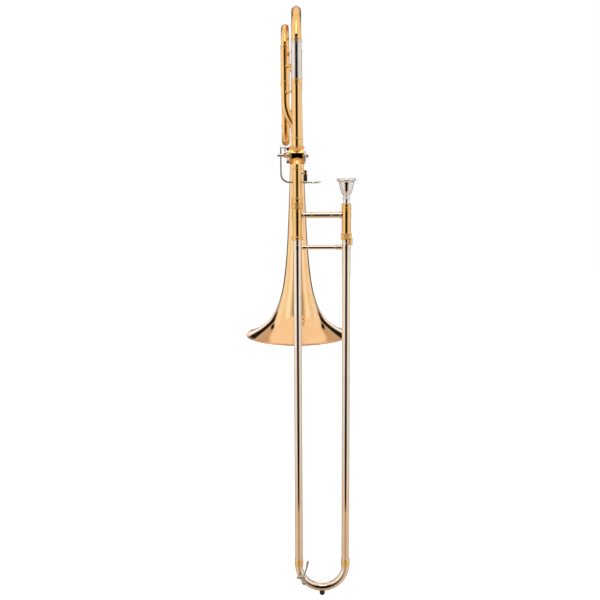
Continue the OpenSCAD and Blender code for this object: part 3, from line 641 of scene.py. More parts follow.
def neckpipes():
    top = VALVE_Z + KNUCKLE_TOP
    low = VALVE_Z - KNUCKLE_TOP
    centre_y = VALVE_Y - KNUCKLE_DY
    wall = NECK_R - BORE_R
    bend = arc_yz(0, centre_y, top, KNUCKLE_R, 180, 225, 14)
    upper = route([(0, NECK_Y, SLEEVE[0]), (0, NECK_Y, 460)], bend)
    piece("neckpipe_upper_tube", [hollow(upper, NECK_R, wall)], BELL_BODY, "gold_brass", ["upper_neckpipe"])
    lower = route([(0, NECK_Y, 299), (0, NECK_Y, 320)], arc_yz(0, centre_y, low, KNUCKLE_R, 180, 135, 14))
    piece("neckpipe_lower_tube", [hollow(lower, NECK_R, wall)], BELL_BODY, "gold_brass", ["lower_neckpipe"])
    shells = [
        collar(0, NECK_Y, 409, 414, NECK_R + 0.6, NECK_R + 0.05, 0.5),
        collar(0, NECK_Y, 352.5, 357, NECK_R + 0.6, NECK_R + 0.05, 0.5),
        collar(0, F_FRONT_Y, 403, 407.5, F_R + 0.6, F_R + 0.05, 0.5),
    ]
    piece("neck_collars", shells, BELL_BODY, "yellow_brass", ["neck_rings"])
    outline = [
        (8.5, 283.3), (9, 283.3), (9.0, 288.5), (10.6, 288.5), (10.6, 290.3), (9.6, 290.8),
        (9.6, 296.6), (10.4, 297), (10.4, 299), (9.6, 299.4), (9.6, 301), (8.25, 301), (8.25, 299),
        (7, 299), (7, 297.4), (8.5, 297.4),
    ]
    shell = turned(outline, at(0, NECK_Y, 0))
    piece("receiver_socket", [shell], BELL_BODY, "yellow_brass", ["neck_receiver"])


def valve_barrel():
    outline = [
        (15, -12.5), (17.4, -12.5), (17.4, -11.4), (17.0, -11.0), (17.0, 11.4), (17.4, 11.8),
        (17.4, 13), (15, 13),
    ]
    shells = [turned(outline, along_x(0, VALVE_Y, VALVE_Z), 0.35, 128)]
    for a in (45, 135, 225, 315):
        d = Vector((0, math.cos(math.radians(a)), math.sin(math.radians(a))))
        start = Vector((0, VALVE_Y, VALVE_Z))
        r = NECK_R
        stub = [
            (BORE_R, 12.6), (r + 0.2, 13.4), (r + 0.1, 16.0, 0.6), (r + 0.1, 16.8), (r + 0.5, 17.1),
            (r + 0.5, 18.6), (r, 19.0), (r, 19.5), (BORE_R, 19.5),
        ]
        shells.append(turned(stub, along(start, start + d), 0.3, 96))
    piece("valve_barrel", shells, BELL_BODY, "yellow_brass", ["valve_casing"])


def valve_covers():
    """Front plate with the lever's hinge, milled cap at the back, and the rotor's rubber stops."""
    plate = [(3.6, -15), (16.9, -15), (17.5, -14.2), (17.5, -12.5), (3.6, -12.5)]
    arm = moved(block((2.5, 19.5, 8), 0.6), at(-13.75, -121.0, HINGE[1]))
    shells = [
        turned(plate, along_x(0, VALVE_Y, VALVE_Z), 0.4, 128),
        arm,
        ring_x(-26.5, -12.5, *HINGE, 4, 1.52),
        ring_x(-26.5, -24.5, *HINGE, 4.6, 1.52),
        ring_x(-15.2, -12.6, *HINGE, 5.4, 1.52, 0.5),
    ]
    piece("valve_bearing_plate", shells, BELL_BODY, "yellow_brass", ["valve_end_plate"])
    x0 = 13.0
    cap = [
        (0, x0 + 1.6), (4.4, x0 + 1.6), (4.4, x0), (16.6, x0), (16.6, x0 + 3.2), (12.0, x0 + 3.3),
        (12.0, x0 + 4.4), (7.2, x0 + 4.8), (5.0, x0 + 5.2), (5.0, x0 + 9.1), (4.4, x0 + 9.5),
        (0, x0 + 9.5),
    ]
    shell = turned(cap, along_x(0, VALVE_Y, VALVE_Z), 0.4, 216, (36, 0.5, 16.0))
    piece("valve_cap_milled", [shell], BELL_BODY, "silver_plate", ["valve_back_cap"])
    shells = []
    stop_r = 13
    reach = math.degrees(math.asin(5.3 / stop_r))
    for a in (135 - reach, 225 + reach):
        y = VALVE_Y + stop_r * math.cos(math.radians(a))
        z = VALVE_Z + stop_r * math.sin(math.radians(a))
        shells.append(rod_x(-20, -15, y, z, 3, 0.8))
    piece("stop_rubbers", shells, BELL_BODY, "black_rubber", ["stop_bumpers"])


def f_tubing():
    wall = F_R - BORE_R
    crook = arc_yz(0, CROOK_F[0], CROOK_F[1], CROOK_F[2], 225, 360, 40)
    piece("f_crook_tube", [hollow(crook, F_R, wall)], BELL_BODY, "gold_brass", ["f_valve_crook"])
    centre = Vector((F_X / 2, (F_RISE_Y + F_MID_Y) / 2, F_LOOP_Z))
    side = Vector((-F_X / 2, F_RISE_Y - centre.y, 0)).normalized()
    over = arc(centre, F_LOOP_R, side, (0, 0, 1), 0, 180, 40)
    rise = [(0, F_RISE_Y, CROOK_F[1]), (0, F_RISE_Y, 460)]
    loop = route(rise, over, [(F_X, F_MID_Y, 480), (F_X, F_MID_Y, F_LOW_Z)])
    piece("f_loop_tube", [hollow(loop, F_R, wall)], BELL_BODY, "gold_brass", ["f_inner_loop"])
    low = arc_yz(F_X, (F_MID_Y + F_REAR_Y) / 2, F_LOW_Z, 25, 180, 360, 40)
    piece("f_low_bow_tube", [hollow(low, F_R, wall)], BELL_BODY, "gold_brass", ["f_lower_bow"])
    back = pipe(F_X, F_REAR_Y, F_LOW_Z, F_SLEEVE[0], F_R, BORE_R)
    piece("f_back_tube", [back], BELL_BODY, "gold_brass", ["f_rear_tube"])
    knuckle_y = VALVE_Y + KNUCKLE_DY
    top = VALVE_Z + KNUCKLE_TOP
    neck = route(
        [(F_X, F_FRONT_Y, F_SLEEVE[0]), (F_X, F_FRONT_Y, 500)],
        arc_xz(F_X + F_NECK_R, F_FRONT_Y, F_NECK_TOP, F_NECK_R, 180, 180 + F_NECK_A, 18),
        arc_xz(-F_NECK_R, F_FRONT_Y, F_NECK_BOTTOM, F_NECK_R, F_NECK_A, 0, 18),
        arc_yz(0, knuckle_y, top, KNUCKLE_R, 0, -45, 14),
    )
    piece("f_gooseneck_tube", [hollow(neck, F_R, wall)], BELL_BODY, "gold_brass", ["f_gooseneck"])
    shells = [pipe(F_X, y, *F_SLEEVE, F_R + 0.75, F_R - 0.09) for y in F_LEGS_Y]
    piece("f_outer_sleeves", shells, BELL_BODY, "gold_brass", ["f_sleeves"])
    shells = []
    for y in F_LEGS_Y:
        shells.append(collar(F_X, y, F_SLEEVE[0] - 5, F_SLEEVE[0] + 4, F_R + 0.95, F_R + 0.05, 0.3, 2))
        shells.append(collar(F_X, y, F_SLEEVE[1] - 5, F_SLEEVE[1] - 0.1, F_R + 1.0, F_R + 0.75, 0.3))
    for x, y, z in ((F_X, F_MID_Y, F_LOW_Z + 3), (F_X, F_REAR_Y, F_LOW_Z + 3), (0, F_RISE_Y, 396)):
        shells.append(collar(x, y, z, z + 6, F_R + 0.6, F_R + 0.05, 0.4))
    piece("f_collars", shells, BELL_BODY, "gold_brass", ["f_ferrules"])


def braces():
    front_sleeve = LEG_FRONT_R + 0.86
    rear_sleeve = LEG_REAR_R + 0.86
    shells = [
        short_strut((F_X, F_FRONT_Y, 548), (0, NECK_Y, 548), F_R + 0.75, front_sleeve, 2.4, 4),
        short_strut((F_X, F_FRONT_Y, 500), (0, NECK_Y, 500), F_R, NECK_R, 2.4, 4),
        short_strut((F_X, F_REAR_Y, 470), (0, 0, 470), F_R, bell_radius(470), 2.4, 4),
        short_strut((F_X, F_MID_Y, 480), (F_X, F_REAR_Y, 480), F_R, F_R, 2.2, 3.6),
    ]
    piece("f_tube_braces", shells, BELL_BODY, "yellow_brass", ["f_braces"])
    lower = strut((0, NECK_Y, 311), (0, 0, 311), NECK_R, bell_radius(311), 4, 6.5)
    piece("bell_stay_lower", [lower], BELL_BODY, "yellow_brass", ["bell_brace_lower"])
    upper = strut((0, NECK_Y, 573), (0, 0, 573), front_sleeve, rear_sleeve, 4, 6.5)
    piece("bell_stay_upper", [upper], BELL_BODY, "yellow_brass", ["bell_brace_upper"])


def trigger_stop():
    foot = Vector((4, NECK_Y + 6, 346))
    end = Vector((*THUMB_STOP, 346))
    nut = [(1.2, 342), (4.1, 342), (4.1, 350), (1.2, 350)]
    shells = [
        bar(route([foot, foot.lerp(end, 0.5), end]), (2, 2)),
        bar(route([foot.lerp(end, 0.03), foot.lerp(end, 0.16)]), (3.6, 3.6), 32),
        turned(nut, at(*THUMB_STOP, 0), 0.45, 6),
        rod((*THUMB_STOP, 341), (*THUMB_STOP, 351.4), 2.4),
        moved(lathe(fillet([(2.3, 350), (4.2, 350), (4.2, 351), (2.3, 351)], 0.3), 48), at(*THUMB_STOP, 0)),
    ]
    piece("trigger_stop_bracket", shells, BELL_BODY, "yellow_brass", ["trigger_stop_arm"], 30)
    pad = [
        (0, 325), (3.1, 325), (3.9, 325.8), (3.9, 336), (3.5, 336.6), (3.5, 337.6), (3.9, 338.2),
        (3.9, 342), (0, 342),
    ]
    shell = turned(pad, at(*THUMB_STOP, 0), 0.3, 64)
    piece("trigger_rest_pad", [shell], BELL_BODY, "black_rubber", ["trigger_stop_pad"])


def hinge_parts():
    head = [(0, -38.4), (2.7, -38.4), (3, -38.0), (3, -36.4), (1.49, -36.2), (1.49, -13), (0, -13)]
    shell = turned(head, along_x(0, *HINGE), 0.25, 64)
    piece("lever_pivot_screw", [shell], BELL_BODY, "nickel_silver", ["lever_screw"])
    coil, turns, count = [], 4.75, 200
    for k in range(count + 1):
        a = 2 * math.pi * turns * k / count + math.pi / 2
        coil.append((-23.8 + 4.5 * k / count, HINGE[0] + 5.15 * math.cos(a), HINGE[1] + 5.15 * math.sin(a)))
    tail = Vector((-19.3, HINGE[0] + 5.15, HINGE[1]))
    coil += [tail + Vector((0, 0, -6)), tail + Vector((0, 0, -16))]
    spring = bar(route(coil), (0.5, 0.5), 12)
    piece("lever_coil_spring", [spring], BELL_BODY, "nickel_silver", ["lever_spring"])


# ---- tuning slides ----


def main_tuning_slide():
    body = "main_tuning_slide"
    y0, y1 = NECK_Y + BOW_R, -BOW_R
    path = route(arc_yz(0, y0, BOW_Z, BOW_R, 180, 90, 36), arc_yz(0, y1, BOW_Z, BOW_R, 90, 0, 36))
    piece("main_bow_tube", [hollow(path, (9.4, 10.8), 0.8, 80)], body, "gold_brass", ["tuning_bow"])
    shells = [
        pipe(0, NECK_Y, SLEEVE[0] + 1, BOW_Z, LEG_FRONT_R, LEG_FRONT_R - 0.8),
        pipe(0, 0, SLEEVE[0] + 1, BOW_Z, LEG_REAR_R, LEG_REAR_R - 0.8),
    ]
    piece("main_slide_legs", shells, body, "nickel_silver", ["tuning_legs"])
    shells = [
        collar(0, NECK_Y, BOW_Z, BOW_Z + 5.5, 10.15, 9.4, 0.35),
        collar(0, 0, BOW_Z, BOW_Z + 5.5, 11.6, 10.8, 0.35),
    ]
    piece("main_bow_collars", shells, body, "gold_brass", ["tuning_bow_ferrules"])
    rise = 14
    z = BOW_Z + rise
    inset = BOW_R - math.sqrt(BOW_R ** 2 - rise ** 2)
    shell = strut((0, NECK_Y + inset, z), (0, -inset, z), 9.5, 10.9, 3.6, 5.5)
    piece("main_bow_stay", [shell], body, "yellow_brass", ["tuning_brace"])


def f_tuning_slide():
    body = "f_tuning_slide"
    mid = (F_FRONT_Y + F_REAR_Y) / 2
    path = route(
        [(F_X, F_FRONT_Y, F_SLEEVE[1] + 0.3)], arc_yz(F_X, mid, F_BOW_Z, F_BOW_R, 180, 0, 56),
        [(F_X, F_REAR_Y, F_SLEEVE[1] + 0.3)],
    )
    piece("f_bow_tube", [hollow(path, F_R, F_R - BORE_R)], body, "gold_brass", ["f_bow"])
    shells = [pipe(F_X, y, F_SLEEVE[0] + 1, F_SLEEVE[1] + 0.3, F_R - 0.15, BORE_R - 0.1) for y in F_LEGS_Y]
    piece("f_inner_legs", shells, body, "nickel_silver", ["f_slide_legs"])
    low, high = F_SLEEVE[1] + 0.3, F_BOW_Z + 1
    shells = [collar(F_X, y, low, high, F_R + 0.75, F_R + 0.05, 0.35) for y in F_LEGS_Y]
    piece("f_bow_collars", shells, body, "gold_brass", ["f_bow_ferrules"])
    rise = 10
    z = F_BOW_Z + rise
    inset = F_BOW_R - math.sqrt(F_BOW_R ** 2 - rise ** 2)
    a, b = (F_X, F_FRONT_Y + inset, z), (F_X, F_REAR_Y - inset, z)
    piece("f_bow_stay", [strut(a, b, F_R + 0.8, F_R + 0.8, 2.6, 4)], body, "yellow_brass", ["f_slide_brace"])


# ---- rotor, trigger and link ----


def stop_arm():
    lug = moved(block((1.9, 11.0, 4.2), 0.5), Matrix.Translation((-17.25, 0, 0)))
    turn = Matrix.Rotation(math.radians(225), 4, "X")
    out = Matrix.Translation((0, VALVE_Y, VALVE_Z)) @ turn @ Matrix.Translation((0, 9.8, 0))
    hub = [(2.5, -18.5), (7.2, -18.5), (7.6, -18.1), (7.6, -16), (2.5, -16)]
    screw = [(0, -20.4), (2.6, -20.4), (2.9, -20.1), (2.9, -18.5), (0, -18.5)]
    shells = [
        moved(lug, out),
        turned(hub, along_x(0, VALVE_Y, VALVE_Z), 0.3, 72),
        rod_x(-25.4, -18.0, *STOP_PIN, 1.2, 0.3),
    ]
    piece("stop_arm_hub", shells, "rotor", "nickel_silver", ["stop_arm"])
    shell = turned(screw, along_x(0, VALVE_Y, VALVE_Z), 0.25, 48)
    slot = moved(block((0.3, 0.8, 5.0), 0.1), at(-20.45, VALVE_Y, VALVE_Z))
    piece("stop_arm_screw", [shell, slot], "rotor", "silver_plate")


def trigger():
    mid_x = -31.5
    y = HINGE[0]
    path = route(
        [(mid_x, TIP[0], TIP[1]), (mid_x, (TIP[0] + y) / 2, (TIP[1] + HINGE[1]) / 2)],
        [(mid_x, y, HINGE[1] + 1)],
        [(mid_x, y, 372), (mid_x, y, 364), (mid_x, y, 356), (mid_x, y, 348)],
        arc_xz(mid_x + 16, y, THUMB_Z + 16, 16, 180, 270, 16),
        [(-8, y, THUMB_Z), (4, y, THUMB_Z), (16, y, THUMB_Z), (30.4, y, THUMB_Z)],
    )
    sizes, powers = [], []
    run = lengths(path)
    for s in run:
        share = min(1.0, max(0.0, (s - 20) / 70))
        sizes.append((1.5 + 0.6 * share, 2.3 - 0.2 * share))
        powers.append(4.5 - 2.5 * share)
    shells = [
        bar(path, sizes, 28, powers, 0.4),
        ring_x(-36, -26.9, *HINGE, 3.3, 1.56),
        rod_x(-33.2, -20.6, *TIP, 1.5, 0.3),
        rod_x(-33.0, -30.0, *TIP, 3.1, 0.5),
    ]
    piece("trigger_lever_strip", shells, "trigger", "lever_nickel", ["trigger_lever"])
    dish = [
        (0, 0.35), (0.5, 0.5), (0.8, 0.9), (0.94, 1.3), (1.0, 1.05), (1.0, -0.4), (0.9, -1.1),
        (0.6, -1.3), (0, -1.3),
    ]
    outline = [(r * 6.0, z) for r, z in dish]
    pad = moved(lathe(smooth_run(outline, 4, 0.05), 72), Matrix.Diagonal((9.5 / 6.0, 1, 1, 1)))
    neck = rod((-11.2, 0, 0), (-1, 0, 0), 2.7, 0.6)
    tilt = at(38, y, THUMB_Z) @ Matrix.Rotation(math.radians(12), 4, "X")
    piece("thumb_pad", [moved(pad, tilt), moved(neck, tilt)], "trigger", "silver_plate", ["thumb_paddle"])


def link():
    a = Vector((-23.2, TIP[0], TIP[1]))
    b = Vector((-23.2, STOP_PIN[0], STOP_PIN[1]))
    d = (b - a).normalized()
    shells = [
        ring_x(-24.6, -21.8, a.y, a.z, 3.4, 1.56),
        ring_x(-24.6, -21.8, b.y, b.z, 4.4, 2.75),
        bar(route([a + d * 2.6, a.lerp(b, 0.5), b - d * 3.6]), (1.3, 1.3), 24, 2, 0.2),
        bar(route([a + d * 7, a + d * 12]), (1.9, 1.9), 6, 2, 0.3),
        bar(route([b - d * 13, b - d * 8]), (1.9, 1.9), 6, 2, 0.3),
    ]
    piece("link_bar", shells, "link", "nickel_silver", ["link_rod"])


# ---- inner slide ----


def lock_nut():
    nut = [
        (8.5, 279.3), (10.9, 279.3), (10.9, 281.1), (10.3, 281.3), (10.5, 281.6), (10.5, 285.9),
        (10.3, 286.2), (10.9, 286.4), (10.9, 288.2), (9.1, 288.2), (9.1, 283.0), (8.5, 283.0),
    ]
    shell = turned(nut, at(0, NECK_Y, 0), 0.3, 192, (32, 0.22, 10.2))
    piece("lock_nut_milled", [shell], "lock_nut", "yellow_brass", ["bell_lock_nut"])


def inner_slide():
    body = "inner_slide"
    piece("tenon_tube", [pipe(0, NECK_Y, 279, 297, 8.44, BORE_R)], body, "yellow_brass", ["slide_tenon"])
    left = [
        (8.35, 218), (10.3, 218), (10.7, 218.4), (10.7, 219.6), (10.2, 220), (10.2, 222.6),
        (10.7, 223), (10.7, 224.1), (10.3, 224.5), (8.9, 225.2), (8.9, 277.2), (9.8, 277.5),
        (9.8, 279), (7.5, 279), (7.5, 272), (8.35, 272),
    ]
    shell = turned(left, at(0, NECK_Y, 0))
    piece("barrel_left", [shell], body, "yellow_brass", ["cork_barrel_left"])
    right = [
        (8.35, 218), (9.9, 218), (9.9, 219.5), (8.9, 219.5), (8.9, 229.6), (9.7, 229.7), (9.7, 231.2),
        (8.9, 231.4), (8.9, 277.2), (9.8, 277.5), (9.8, 279), (7.5, 279), (7.5, 272), (8.35, 272),
    ]
    shell = turned(right, at(RIGHT_X, NECK_Y, 0))
    piece("barrel_right", [shell], body, "yellow_brass", ["cork_barrel_right"])
    tube = [(BORE_R, -430), (7.54, -430), (7.54, -290.6), (7.45, -289.8), (7.45, 279), (BORE_R, 279)]
    for name, x, node in (("left", 0, "inner_tube_left"), ("right", RIGHT_X, "inner_tube_right")):
        shell = moved(lathe(fillet(tube, 0.1, 2)), at(x, NECK_Y, 0))
        piece("inner_leg_" + name, [shell], body, "nickel_silver", [node])
    socket = [
        (6.3, 278.5), (8.5, 278.5), (9.6, 279), (9.6, 280.5), (8.7, 280.9), (8.7, 285.7), (9.6, 286.1),
        (9.6, 287.6), (9.2, 288), (6.9, 288), (6.3, 287.2),
    ]
    shell = turned(socket, at(RIGHT_X, NECK_Y, 0))
    piece("mouthpiece_socket", [shell], body, "yellow_brass", ["mouthpiece_receiver"])
    shells = [pipe(x, NECK_Y, 262.5, 271.9, 8.3, 7.5) for x in (0, RIGHT_X)]
    piece("cork_rings", shells, body, "cork_felt", ["barrel_corks"])
    z = 266.4
    bead_l, bead_r = 27.5, RIGHT_X - 30.5
    tube = [
        (0, 7.6), (6.2, 8.4), (6.6, 9.0), (6.6, 12.0), (5.5, 12.6, 0.8), (5.5, bead_l - 0.3),
        (6.1, bead_l), (6.1, bead_l + 3), (5.6, bead_l + 3.3), (5.6, bead_r - 0.3), (6.1, bead_r),
        (6.1, bead_r + 3), (5.5, bead_r + 3.3), (5.5, RIGHT_X - 12.6, 0.8), (6.6, RIGHT_X - 12.0),
        (6.6, RIGHT_X - 9.0), (6.2, RIGHT_X - 8.4), (0, RIGHT_X - 7.6),
    ]
    shells = [turned(tube, along_x(0, NECK_Y, z), 0.4)]
    piece("left_hand_stay", shells, body, "nickel_silver", ["hand_brace"])
    shells = [pipe(x, NECK_Y, z - 7.5, z + 7.5, 9.35, 8.95) for x in (0, RIGHT_X)]
    piece("left_hand_cuffs", shells, body, "yellow_brass")


def slide_lock():
    z0 = 219.8
    ring = [
        (8.96, z0), (11, z0), (11, z0 + 1.6), (10.3, z0 + 2.0), (10.5, z0 + 2.3), (10.5, z0 + 7.2),
        (10.3, z0 + 7.5), (11, z0 + 7.9), (11, z0 + 9.5), (8.96, z0 + 9.5),
    ]
    spot = at(RIGHT_X, NECK_Y, 0)
    shells = [
        turned(ring, spot, 0.3, 180, (30, 0.4, 10.25)),
        moved(polar_block(10.15, 12.3, -49, -17, z0 - 11.4, z0 + 2.2, 0.4), spot),
        moved(polar_block(10.15, 12.3, -77, -48, z0 - 11.4, z0 - 9.2, 0.4), spot),
    ]
    piece("slide_lock_hook", shells, "slide_lock", "yellow_brass", ["slide_lock_ring"])


def mouthpiece():
    rim_r, top = 19.0, RIM_Z
    outline = [
        (1.9, 288.5), (3.0, top - 28), (3.9, top - 25.4), (5.6, top - 22), (8.4, top - 17),
        (10.4, top - 12), (11.8, top - 7), (12.7, top - 3.4), (13.4, top - 1.2), (14.4, top - 0.2),
        (15.7, top), (17.1, top - 0.4), (18.3, top - 1.3), (rim_r, top - 2.9), (18.7, top - 4.2),
        (17.3, top - 5.2), (15.5, top - 6.2), (14.5, top - 8.0), (14.0, top - 10.6), (13.3, top - 14),
        (12.5, top - 18), (11.6, top - 22), (10.7, top - 25.4), (9.4, top - 28.6), (7.6, top - 31.2),
        (6.3, top - 33.4), (5.8, top - 35.2),
    ]
    cup = smooth_run(outline, 5)
    tail = [
        (6.1, top - 36.4), (7.4, top - 36.9), (7.8, top - 37.6), (7.8, top - 39.0), (7.4, top - 39.7),
        (6.3, top - 40.3), (6.5, top - 43.6), (6.15, top - 49), (5.5, 265), (5.5, 264), (4.6, 264),
        (3.6, 276),
    ]
    tail = fillet([(5.8, top - 35.4)] + tail + [(1.9, 288.4)], 0.3, 3)[4:-4]
    shell = moved(lathe(cup + tail, 128), at(RIGHT_X, NECK_Y, 0))
    piece("mouthpiece_cup", [shell], "mouthpiece", "silver_plate", ["mouthpiece"], 50)


# ---- outer slide ----


def outer_slide():
    body = "outer_slide"
    tube = [(7.6, SLIDE_CROOK_Z), (8.0, SLIDE_CROOK_Z), (8.0, 260.6), (8.15, 261), (8.15, 262), (7.6, 262)]
    left = moved(lathe(fillet(tube, 0.12, 2)), at(0, NECK_Y, 0))
    piece("outer_leg_left", [left], body, "nickel_silver", ["outer_tube_left"])
    right = moved(lathe(fillet(tube, 0.12, 2)), at(RIGHT_X, NECK_Y, 0))
    pin_angle = math.radians(-95)
    d = Vector((math.cos(pin_angle), math.sin(pin_angle), 0))
    start = Vector((RIGHT_X, NECK_Y, 212.6))
    pin = rod(start + d * 7.7, start + d * 12, 1.3, 0.4)
    piece("outer_leg_right", [right, pin], body, "nickel_silver", ["outer_tube_right"])
    z = 204.0
    stay = [
        (0, 6.6), (5.0, 7.4), (5.4, 8.2), (4.7, 9.2, 0.8), (4.7, 18.2), (5.5, 18.5), (5.5, 20.5),
        (4.0, 20.8), (4.0, RIGHT_X - 20.8), (5.5, RIGHT_X - 20.5), (5.5, RIGHT_X - 18.5),
        (4.7, RIGHT_X - 18.2), (4.7, RIGHT_X - 9.2, 0.8), (5.4, RIGHT_X - 8.2), (5.0, RIGHT_X - 7.4),
        (0, RIGHT_X - 6.6),
    ]
    shells = [turned(stay, along_x(0, NECK_Y, z), 0.35, 72)]
    for x in (0, RIGHT_X):
        shells.append(collar(x, NECK_Y, z - 7, z + 5, 8.8, 8.05, 0.0001, 1))
    piece("right_hand_stay", shells, body, "nickel_silver", ["outer_brace"])
    crook = arc_xz(SLIDE_CROOK_R, NECK_Y, SLIDE_CROOK_Z, SLIDE_CROOK_R, 180, 360, 90)
    nipple = [(1.8, 3.6), (3.4, 6.2), (3.0, 7.4), (3.0, 8.7), (2.6, 9.0), (1.8, 9.0)]
    front = along((KEY_HOLE_X, NECK_Y, KEY_HOLE_Z), (KEY_HOLE_X, NECK_Y - 1, KEY_HOLE_Z))
    shells = [hollow(crook, 8.1, 0.5), turned(nipple, front, 0.3, 48)]
    piece("crook_tube", shells, body, "nickel_silver", ["slide_crook"])
    z0 = SLIDE_CROOK_Z
    ring = [(8.05, z0), (8.7, z0), (9.0, z0 + 0.6), (9.0, z0 + 13.2), (8.7, z0 + 14), (8.05, z0 + 14)]
    shells = [turned(ring, at(x, NECK_Y, 0), 0.35) for x in (0, RIGHT_X)]
    piece("crook_collars", shells, body, "collar_brass")
    z0 = FOOT_Z
    foot = [
        (0, z0), (2.6, z0), (4.4, z0 + 0.6), (5.4, z0 + 2.4), (5.7, z0 + 4.6), (5.5, z0 + 6.4),
        (5.0, z0 + 9.6), (0, z0 + 9.6),
    ]
    shell = moved(lathe(smooth_run(foot[:-1], 5) + [Vector(foot[-1])], 64), at(SLIDE_CROOK_R, NECK_Y, 0))
    piece("bumper_foot_rubber", [shell], body, "black_rubber", ["crook_bumper"])
    saddle()


def saddle():
    y, z = KEY
    body = "outer_slide"
    shells = [moved(block((15.2, 5.0, 8.4), 1.1), at(4.0, NECK_Y - 9.2, z))]
    for x in (-3.6, 9.8):
        shells.append(ring_x(x, x + 1.8, y, z, 3.0, 1.2, 0.35))
        shells.append(moved(block((1.8, 5.6, 5.4), 0.35), at(x + 0.9, y + 2.6, z)))
    piece("key_saddle", shells, body, "nickel_silver", ["water_key_saddle"])
    screw = [(0, -5.8), (2.1, -5.8), (2.5, -5.3), (2.5, -3.7), (1.2, -3.5), (1.2, 13.2), (0, 13.2)]
    piece("key_screw", [turned(screw, along_x(0, y, z), 0.25, 48)], body, "nickel_silver")


def water_key():
    y, z = KEY
    body = "water_key"
    lever_y = y - 1
    bends = ((7, 0), (10.6, 7), (13.4, 15), (15.8, 24), (17.6, 33))
    arm = route([(x, lever_y, z + rise) for x, rise in bends])
    widths = [(1.8, 1.9), (1.8, 1.5), (2.0, 1.5), (2.3, 1.5), (2.7, 1.6)]
    drop = route([(6, y - 0.8, z), (8, y - 1.2, z - 6), (10, y - 0.8, z - 12.5)])
    ball, count = [], 12
    for k in range(count + 1):
        a = -math.pi / 2 + math.pi * k / count
        ball.append(Vector((max(0, 3.0 * math.cos(a)), 2.7 * math.sin(a))))
    ball[0].x = ball[-1].x = 0
    cup = [(0, 0), (3.6, 0), (4.3, 0.8), (4.3, 4.0), (3.7, 4.0), (3.7, 3.2), (0, 3.2)]
    shells = [
        ring_x(-1.4, 9.4, y, z, 2.7, 1.26),
        bar(arm, widths, 24),
        bar(drop, (1.6, 1.7), 24),
        moved(lathe(ball, 40), at(17.8, lever_y, -435.6)),
        turned(cup, along((KEY_HOLE_X, y - 1, KEY_HOLE_Z), (KEY_HOLE_X, y, KEY_HOLE_Z)), 0.3, 56),
    ]
    piece("key_lever", shells, body, "key_nickel", ["water_key_lever"])
    cork = rod((KEY_HOLE_X, y + 2.1, KEY_HOLE_Z), (KEY_HOLE_X, y + 4.4, KEY_HOLE_Z), 3.5, 0.5)
    piece("key_cork", [cork], body, "cork_felt")


# ---- studio ----


def panel(name, corners):
    """Flat four-cornered part of the stage."""
    mesh = bpy.data.meshes.new(name)
    mesh.from_pydata(corners, [], [(0, 1, 2, 3)])
    obj = bpy.data.objects.new(name, mesh)
    bpy.context.scene.collection.objects.link(obj)
    return obj


def studio():
    """Plain pale floor, and a soft white surround with a dark gap behind the camera and a dimmer ceiling."""
    s, z = FLOOR_HALF, FLOOR_Z
    floor = panel("floor", [(-s, -s, z), (s, -s, z), (s, s, z), (-s, s, z)])
    floor.visible_glossy = False
    material, n = new_material("floor_white")
    grain = n.noise(n.place(), 9.0)
    diffuse = n.add("ShaderNodeBsdfDiffuse", {"Color": (0.8, 0.8, 0.8, 1)})
    glow = n.add("ShaderNodeEmission", {"Color": (1, 1, 1, 1)})
    n.put(glow.inputs["Strength"], n.step(grain, 0.0, 1.0, 0.62, 0.66))
    both = n.add("ShaderNodeAddShader")
    n.put(both.inputs[0], diffuse.outputs[0])
    n.put(both.inputs[1], glow.outputs[0])
    n.end("ShaderNodeOutputMaterial", both.outputs[0])
    floor.data.materials.append(material)
    surround()


def card(name, low_width, high_width, z0, z1, glow):
    """Upright card behind the camera that only reflections see."""
    a, b, y = low_width / 2, high_width / 2, CARD_Y
    obj = panel(name, [(-a, y, z0), (-b, y, z1), (b, y, z1), (a, y, z0)])
    obj.visible_camera = False
    obj.visible_diffuse = False
    obj.visible_shadow = False
    material, n = new_material(name)
    light = n.add("ShaderNodeEmission", {"Color": (1.0, 0.98, 0.95, 1), "Strength": glow})
    n.end("ShaderNodeOutputMaterial", light.outputs[0])
    obj.data.materials.append(material)


def wall_light(n, turn, aside, rise):
    """Brightness of the side walls: dark towards the camera, brightest abreast, with a faint dip."""
    side = n.step(aside, 20, 60, 0.30, 1.22)
    side = n.math("SUBTRACT", side, n.step(aside, 78, 116, 0.0, 0.20))
    dip = n.math("MULTIPLY", n.step(aside, 62, 78, 0.0, 0.26), n.step(aside, 104, 86))
    side = n.math("SUBTRACT", side, dip)
    side = n.math("MULTIPLY", side, n.step(turn, -0.4, 0.4, 1.0, 0.93))
    return n.math("MULTIPLY", side, n.step(rise, -9, -19, 1.0, 0.84))


def dark_seams(n, aside, rise):
    """Windows of the surround that draw the dark lines along edges and round the bell's flare."""
    upright = n.patch(aside, rise, (131, 147), (-4, 16), 4)
    seam = n.math("MULTIPLY", upright, n.step(rise, 0, 14, 0.45, 1.0))
    for wide, tall, soft in (((124, 165), (15, 30), 5), ((145, 160), (-9, -1), 4), ((123, 134), (32, 43), 4)):
        seam = n.math("MAXIMUM", seam, n.patch(aside, rise, wide, tall, soft))
    return seam


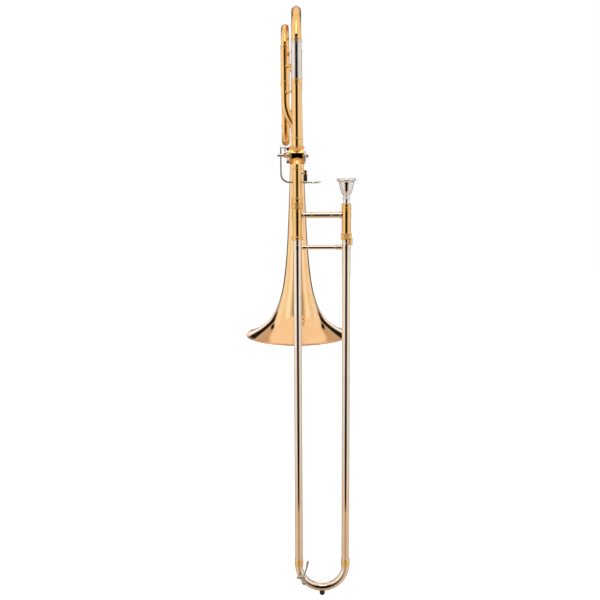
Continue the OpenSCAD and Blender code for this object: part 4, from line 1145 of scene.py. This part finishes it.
def reflected_tone(n, turn, aside, rise):
    """Colour of the surround by its angle from the camera side and its angle above level."""
    behind = n.step(aside, 118, 134)
    low_edge = n.math("MULTIPLY", behind, n.step(rise, 3, -3))
    high = n.math("MULTIPLY", behind, n.step(rise, 28, 33))
    table = n.mix(n.step(aside, 14, 40), (0.50, 0.37, 0.25, 1), (0.80, 0.67, 0.57, 1))
    tone = n.mix(n.step(rise, -19, -24), wall_light(n, turn, aside, rise), table)
    tone = n.mix(low_edge, tone, (0.30, 0.27, 0.24, 1))
    tone = n.mix(high, tone, (0.60, 0.50, 0.41, 1))
    tone = n.mix(n.step(rise, 44, 50), tone, (1.0, 0.93, 0.90, 1))
    return n.mix(dark_seams(n, aside, rise), tone, (0.015, 0.012, 0.010, 1))


def surround():
    """Soft white walls on both sides, a dimmer ceiling, and dark seams where the walls end."""
    card("gap_behind_camera", 1.36, 1.36, -1.08, 1.42, 0.003)
    card("lamp_over_camera", 1.4, 1.9, 1.42, 5.0, 1.9)
    world = bpy.data.worlds.new("studio")
    bpy.context.scene.world = world
    world.use_nodes = True
    n = Nodes(world.node_tree)
    coord = n.add("ShaderNodeTexCoord")
    axes = n.add("ShaderNodeSeparateXYZ")
    n.put(axes.inputs[0], coord.outputs["Generated"])
    x, y, z = axes.outputs
    turn = n.math("ARCTAN2", x, n.math("MULTIPLY", y, -1.0))
    aside = n.math("MULTIPLY", n.math("ABSOLUTE", turn), 180 / math.pi)
    rise = n.math("MULTIPLY", n.math("ARCSINE", z), 180 / math.pi)
    tone = reflected_tone(n, turn, aside, rise)
    camera_ray = n.add("ShaderNodeLightPath").outputs["Is Camera Ray"]
    tone = n.mix(camera_ray, tone, (1, 1, 1, 1))
    back = n.add("ShaderNodeBackground", {"Strength": 1.0})
    n.put(back.inputs["Color"], tone)
    n.end("ShaderNodeOutputWorld", back.outputs[0])


def camera():
    data = bpy.data.cameras.new("camera")
    data.sensor_width = 36
    data.lens = CAMERA_LENS
    data.shift_y = CAMERA_SHIFT
    obj = bpy.data.objects.new("camera", data)
    bpy.context.scene.collection.objects.link(obj)
    obj.location = CAMERA_SPOT
    obj.rotation_euler = [math.radians(a) for a in CAMERA_TURN]
    bpy.context.scene.camera = obj
    bpy.context.scene.view_settings.view_transform = "Standard"


def finish_cad_nodes():
    """The hidden turned parts keep their CAD meshes and get their finish."""
    finishes = {"rotor": "valve_bronze", "valve_back_plate": "yellow_brass", "leadpipe": "yellow_brass"}
    for name, finish in finishes.items():
        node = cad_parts[name]
        node.data.materials.clear()
        node.data.materials.append(FINISHES[finish])


bell()
tuning_sleeve("main_sleeve_front", NECK_Y, LEG_FRONT_R, "tuning_sleeve_front")
tuning_sleeve("main_sleeve_rear", 0, LEG_REAR_R, "tuning_sleeve_rear")
neckpipes()
valve_barrel()
valve_covers()
f_tubing()
braces()
trigger_stop()
hinge_parts()
main_tuning_slide()
f_tuning_slide()
stop_arm()
trigger()
link()
lock_nut()
inner_slide()
slide_lock()
mouthpiece()
outer_slide()
water_key()
finish_cad_nodes()
studio()
camera()
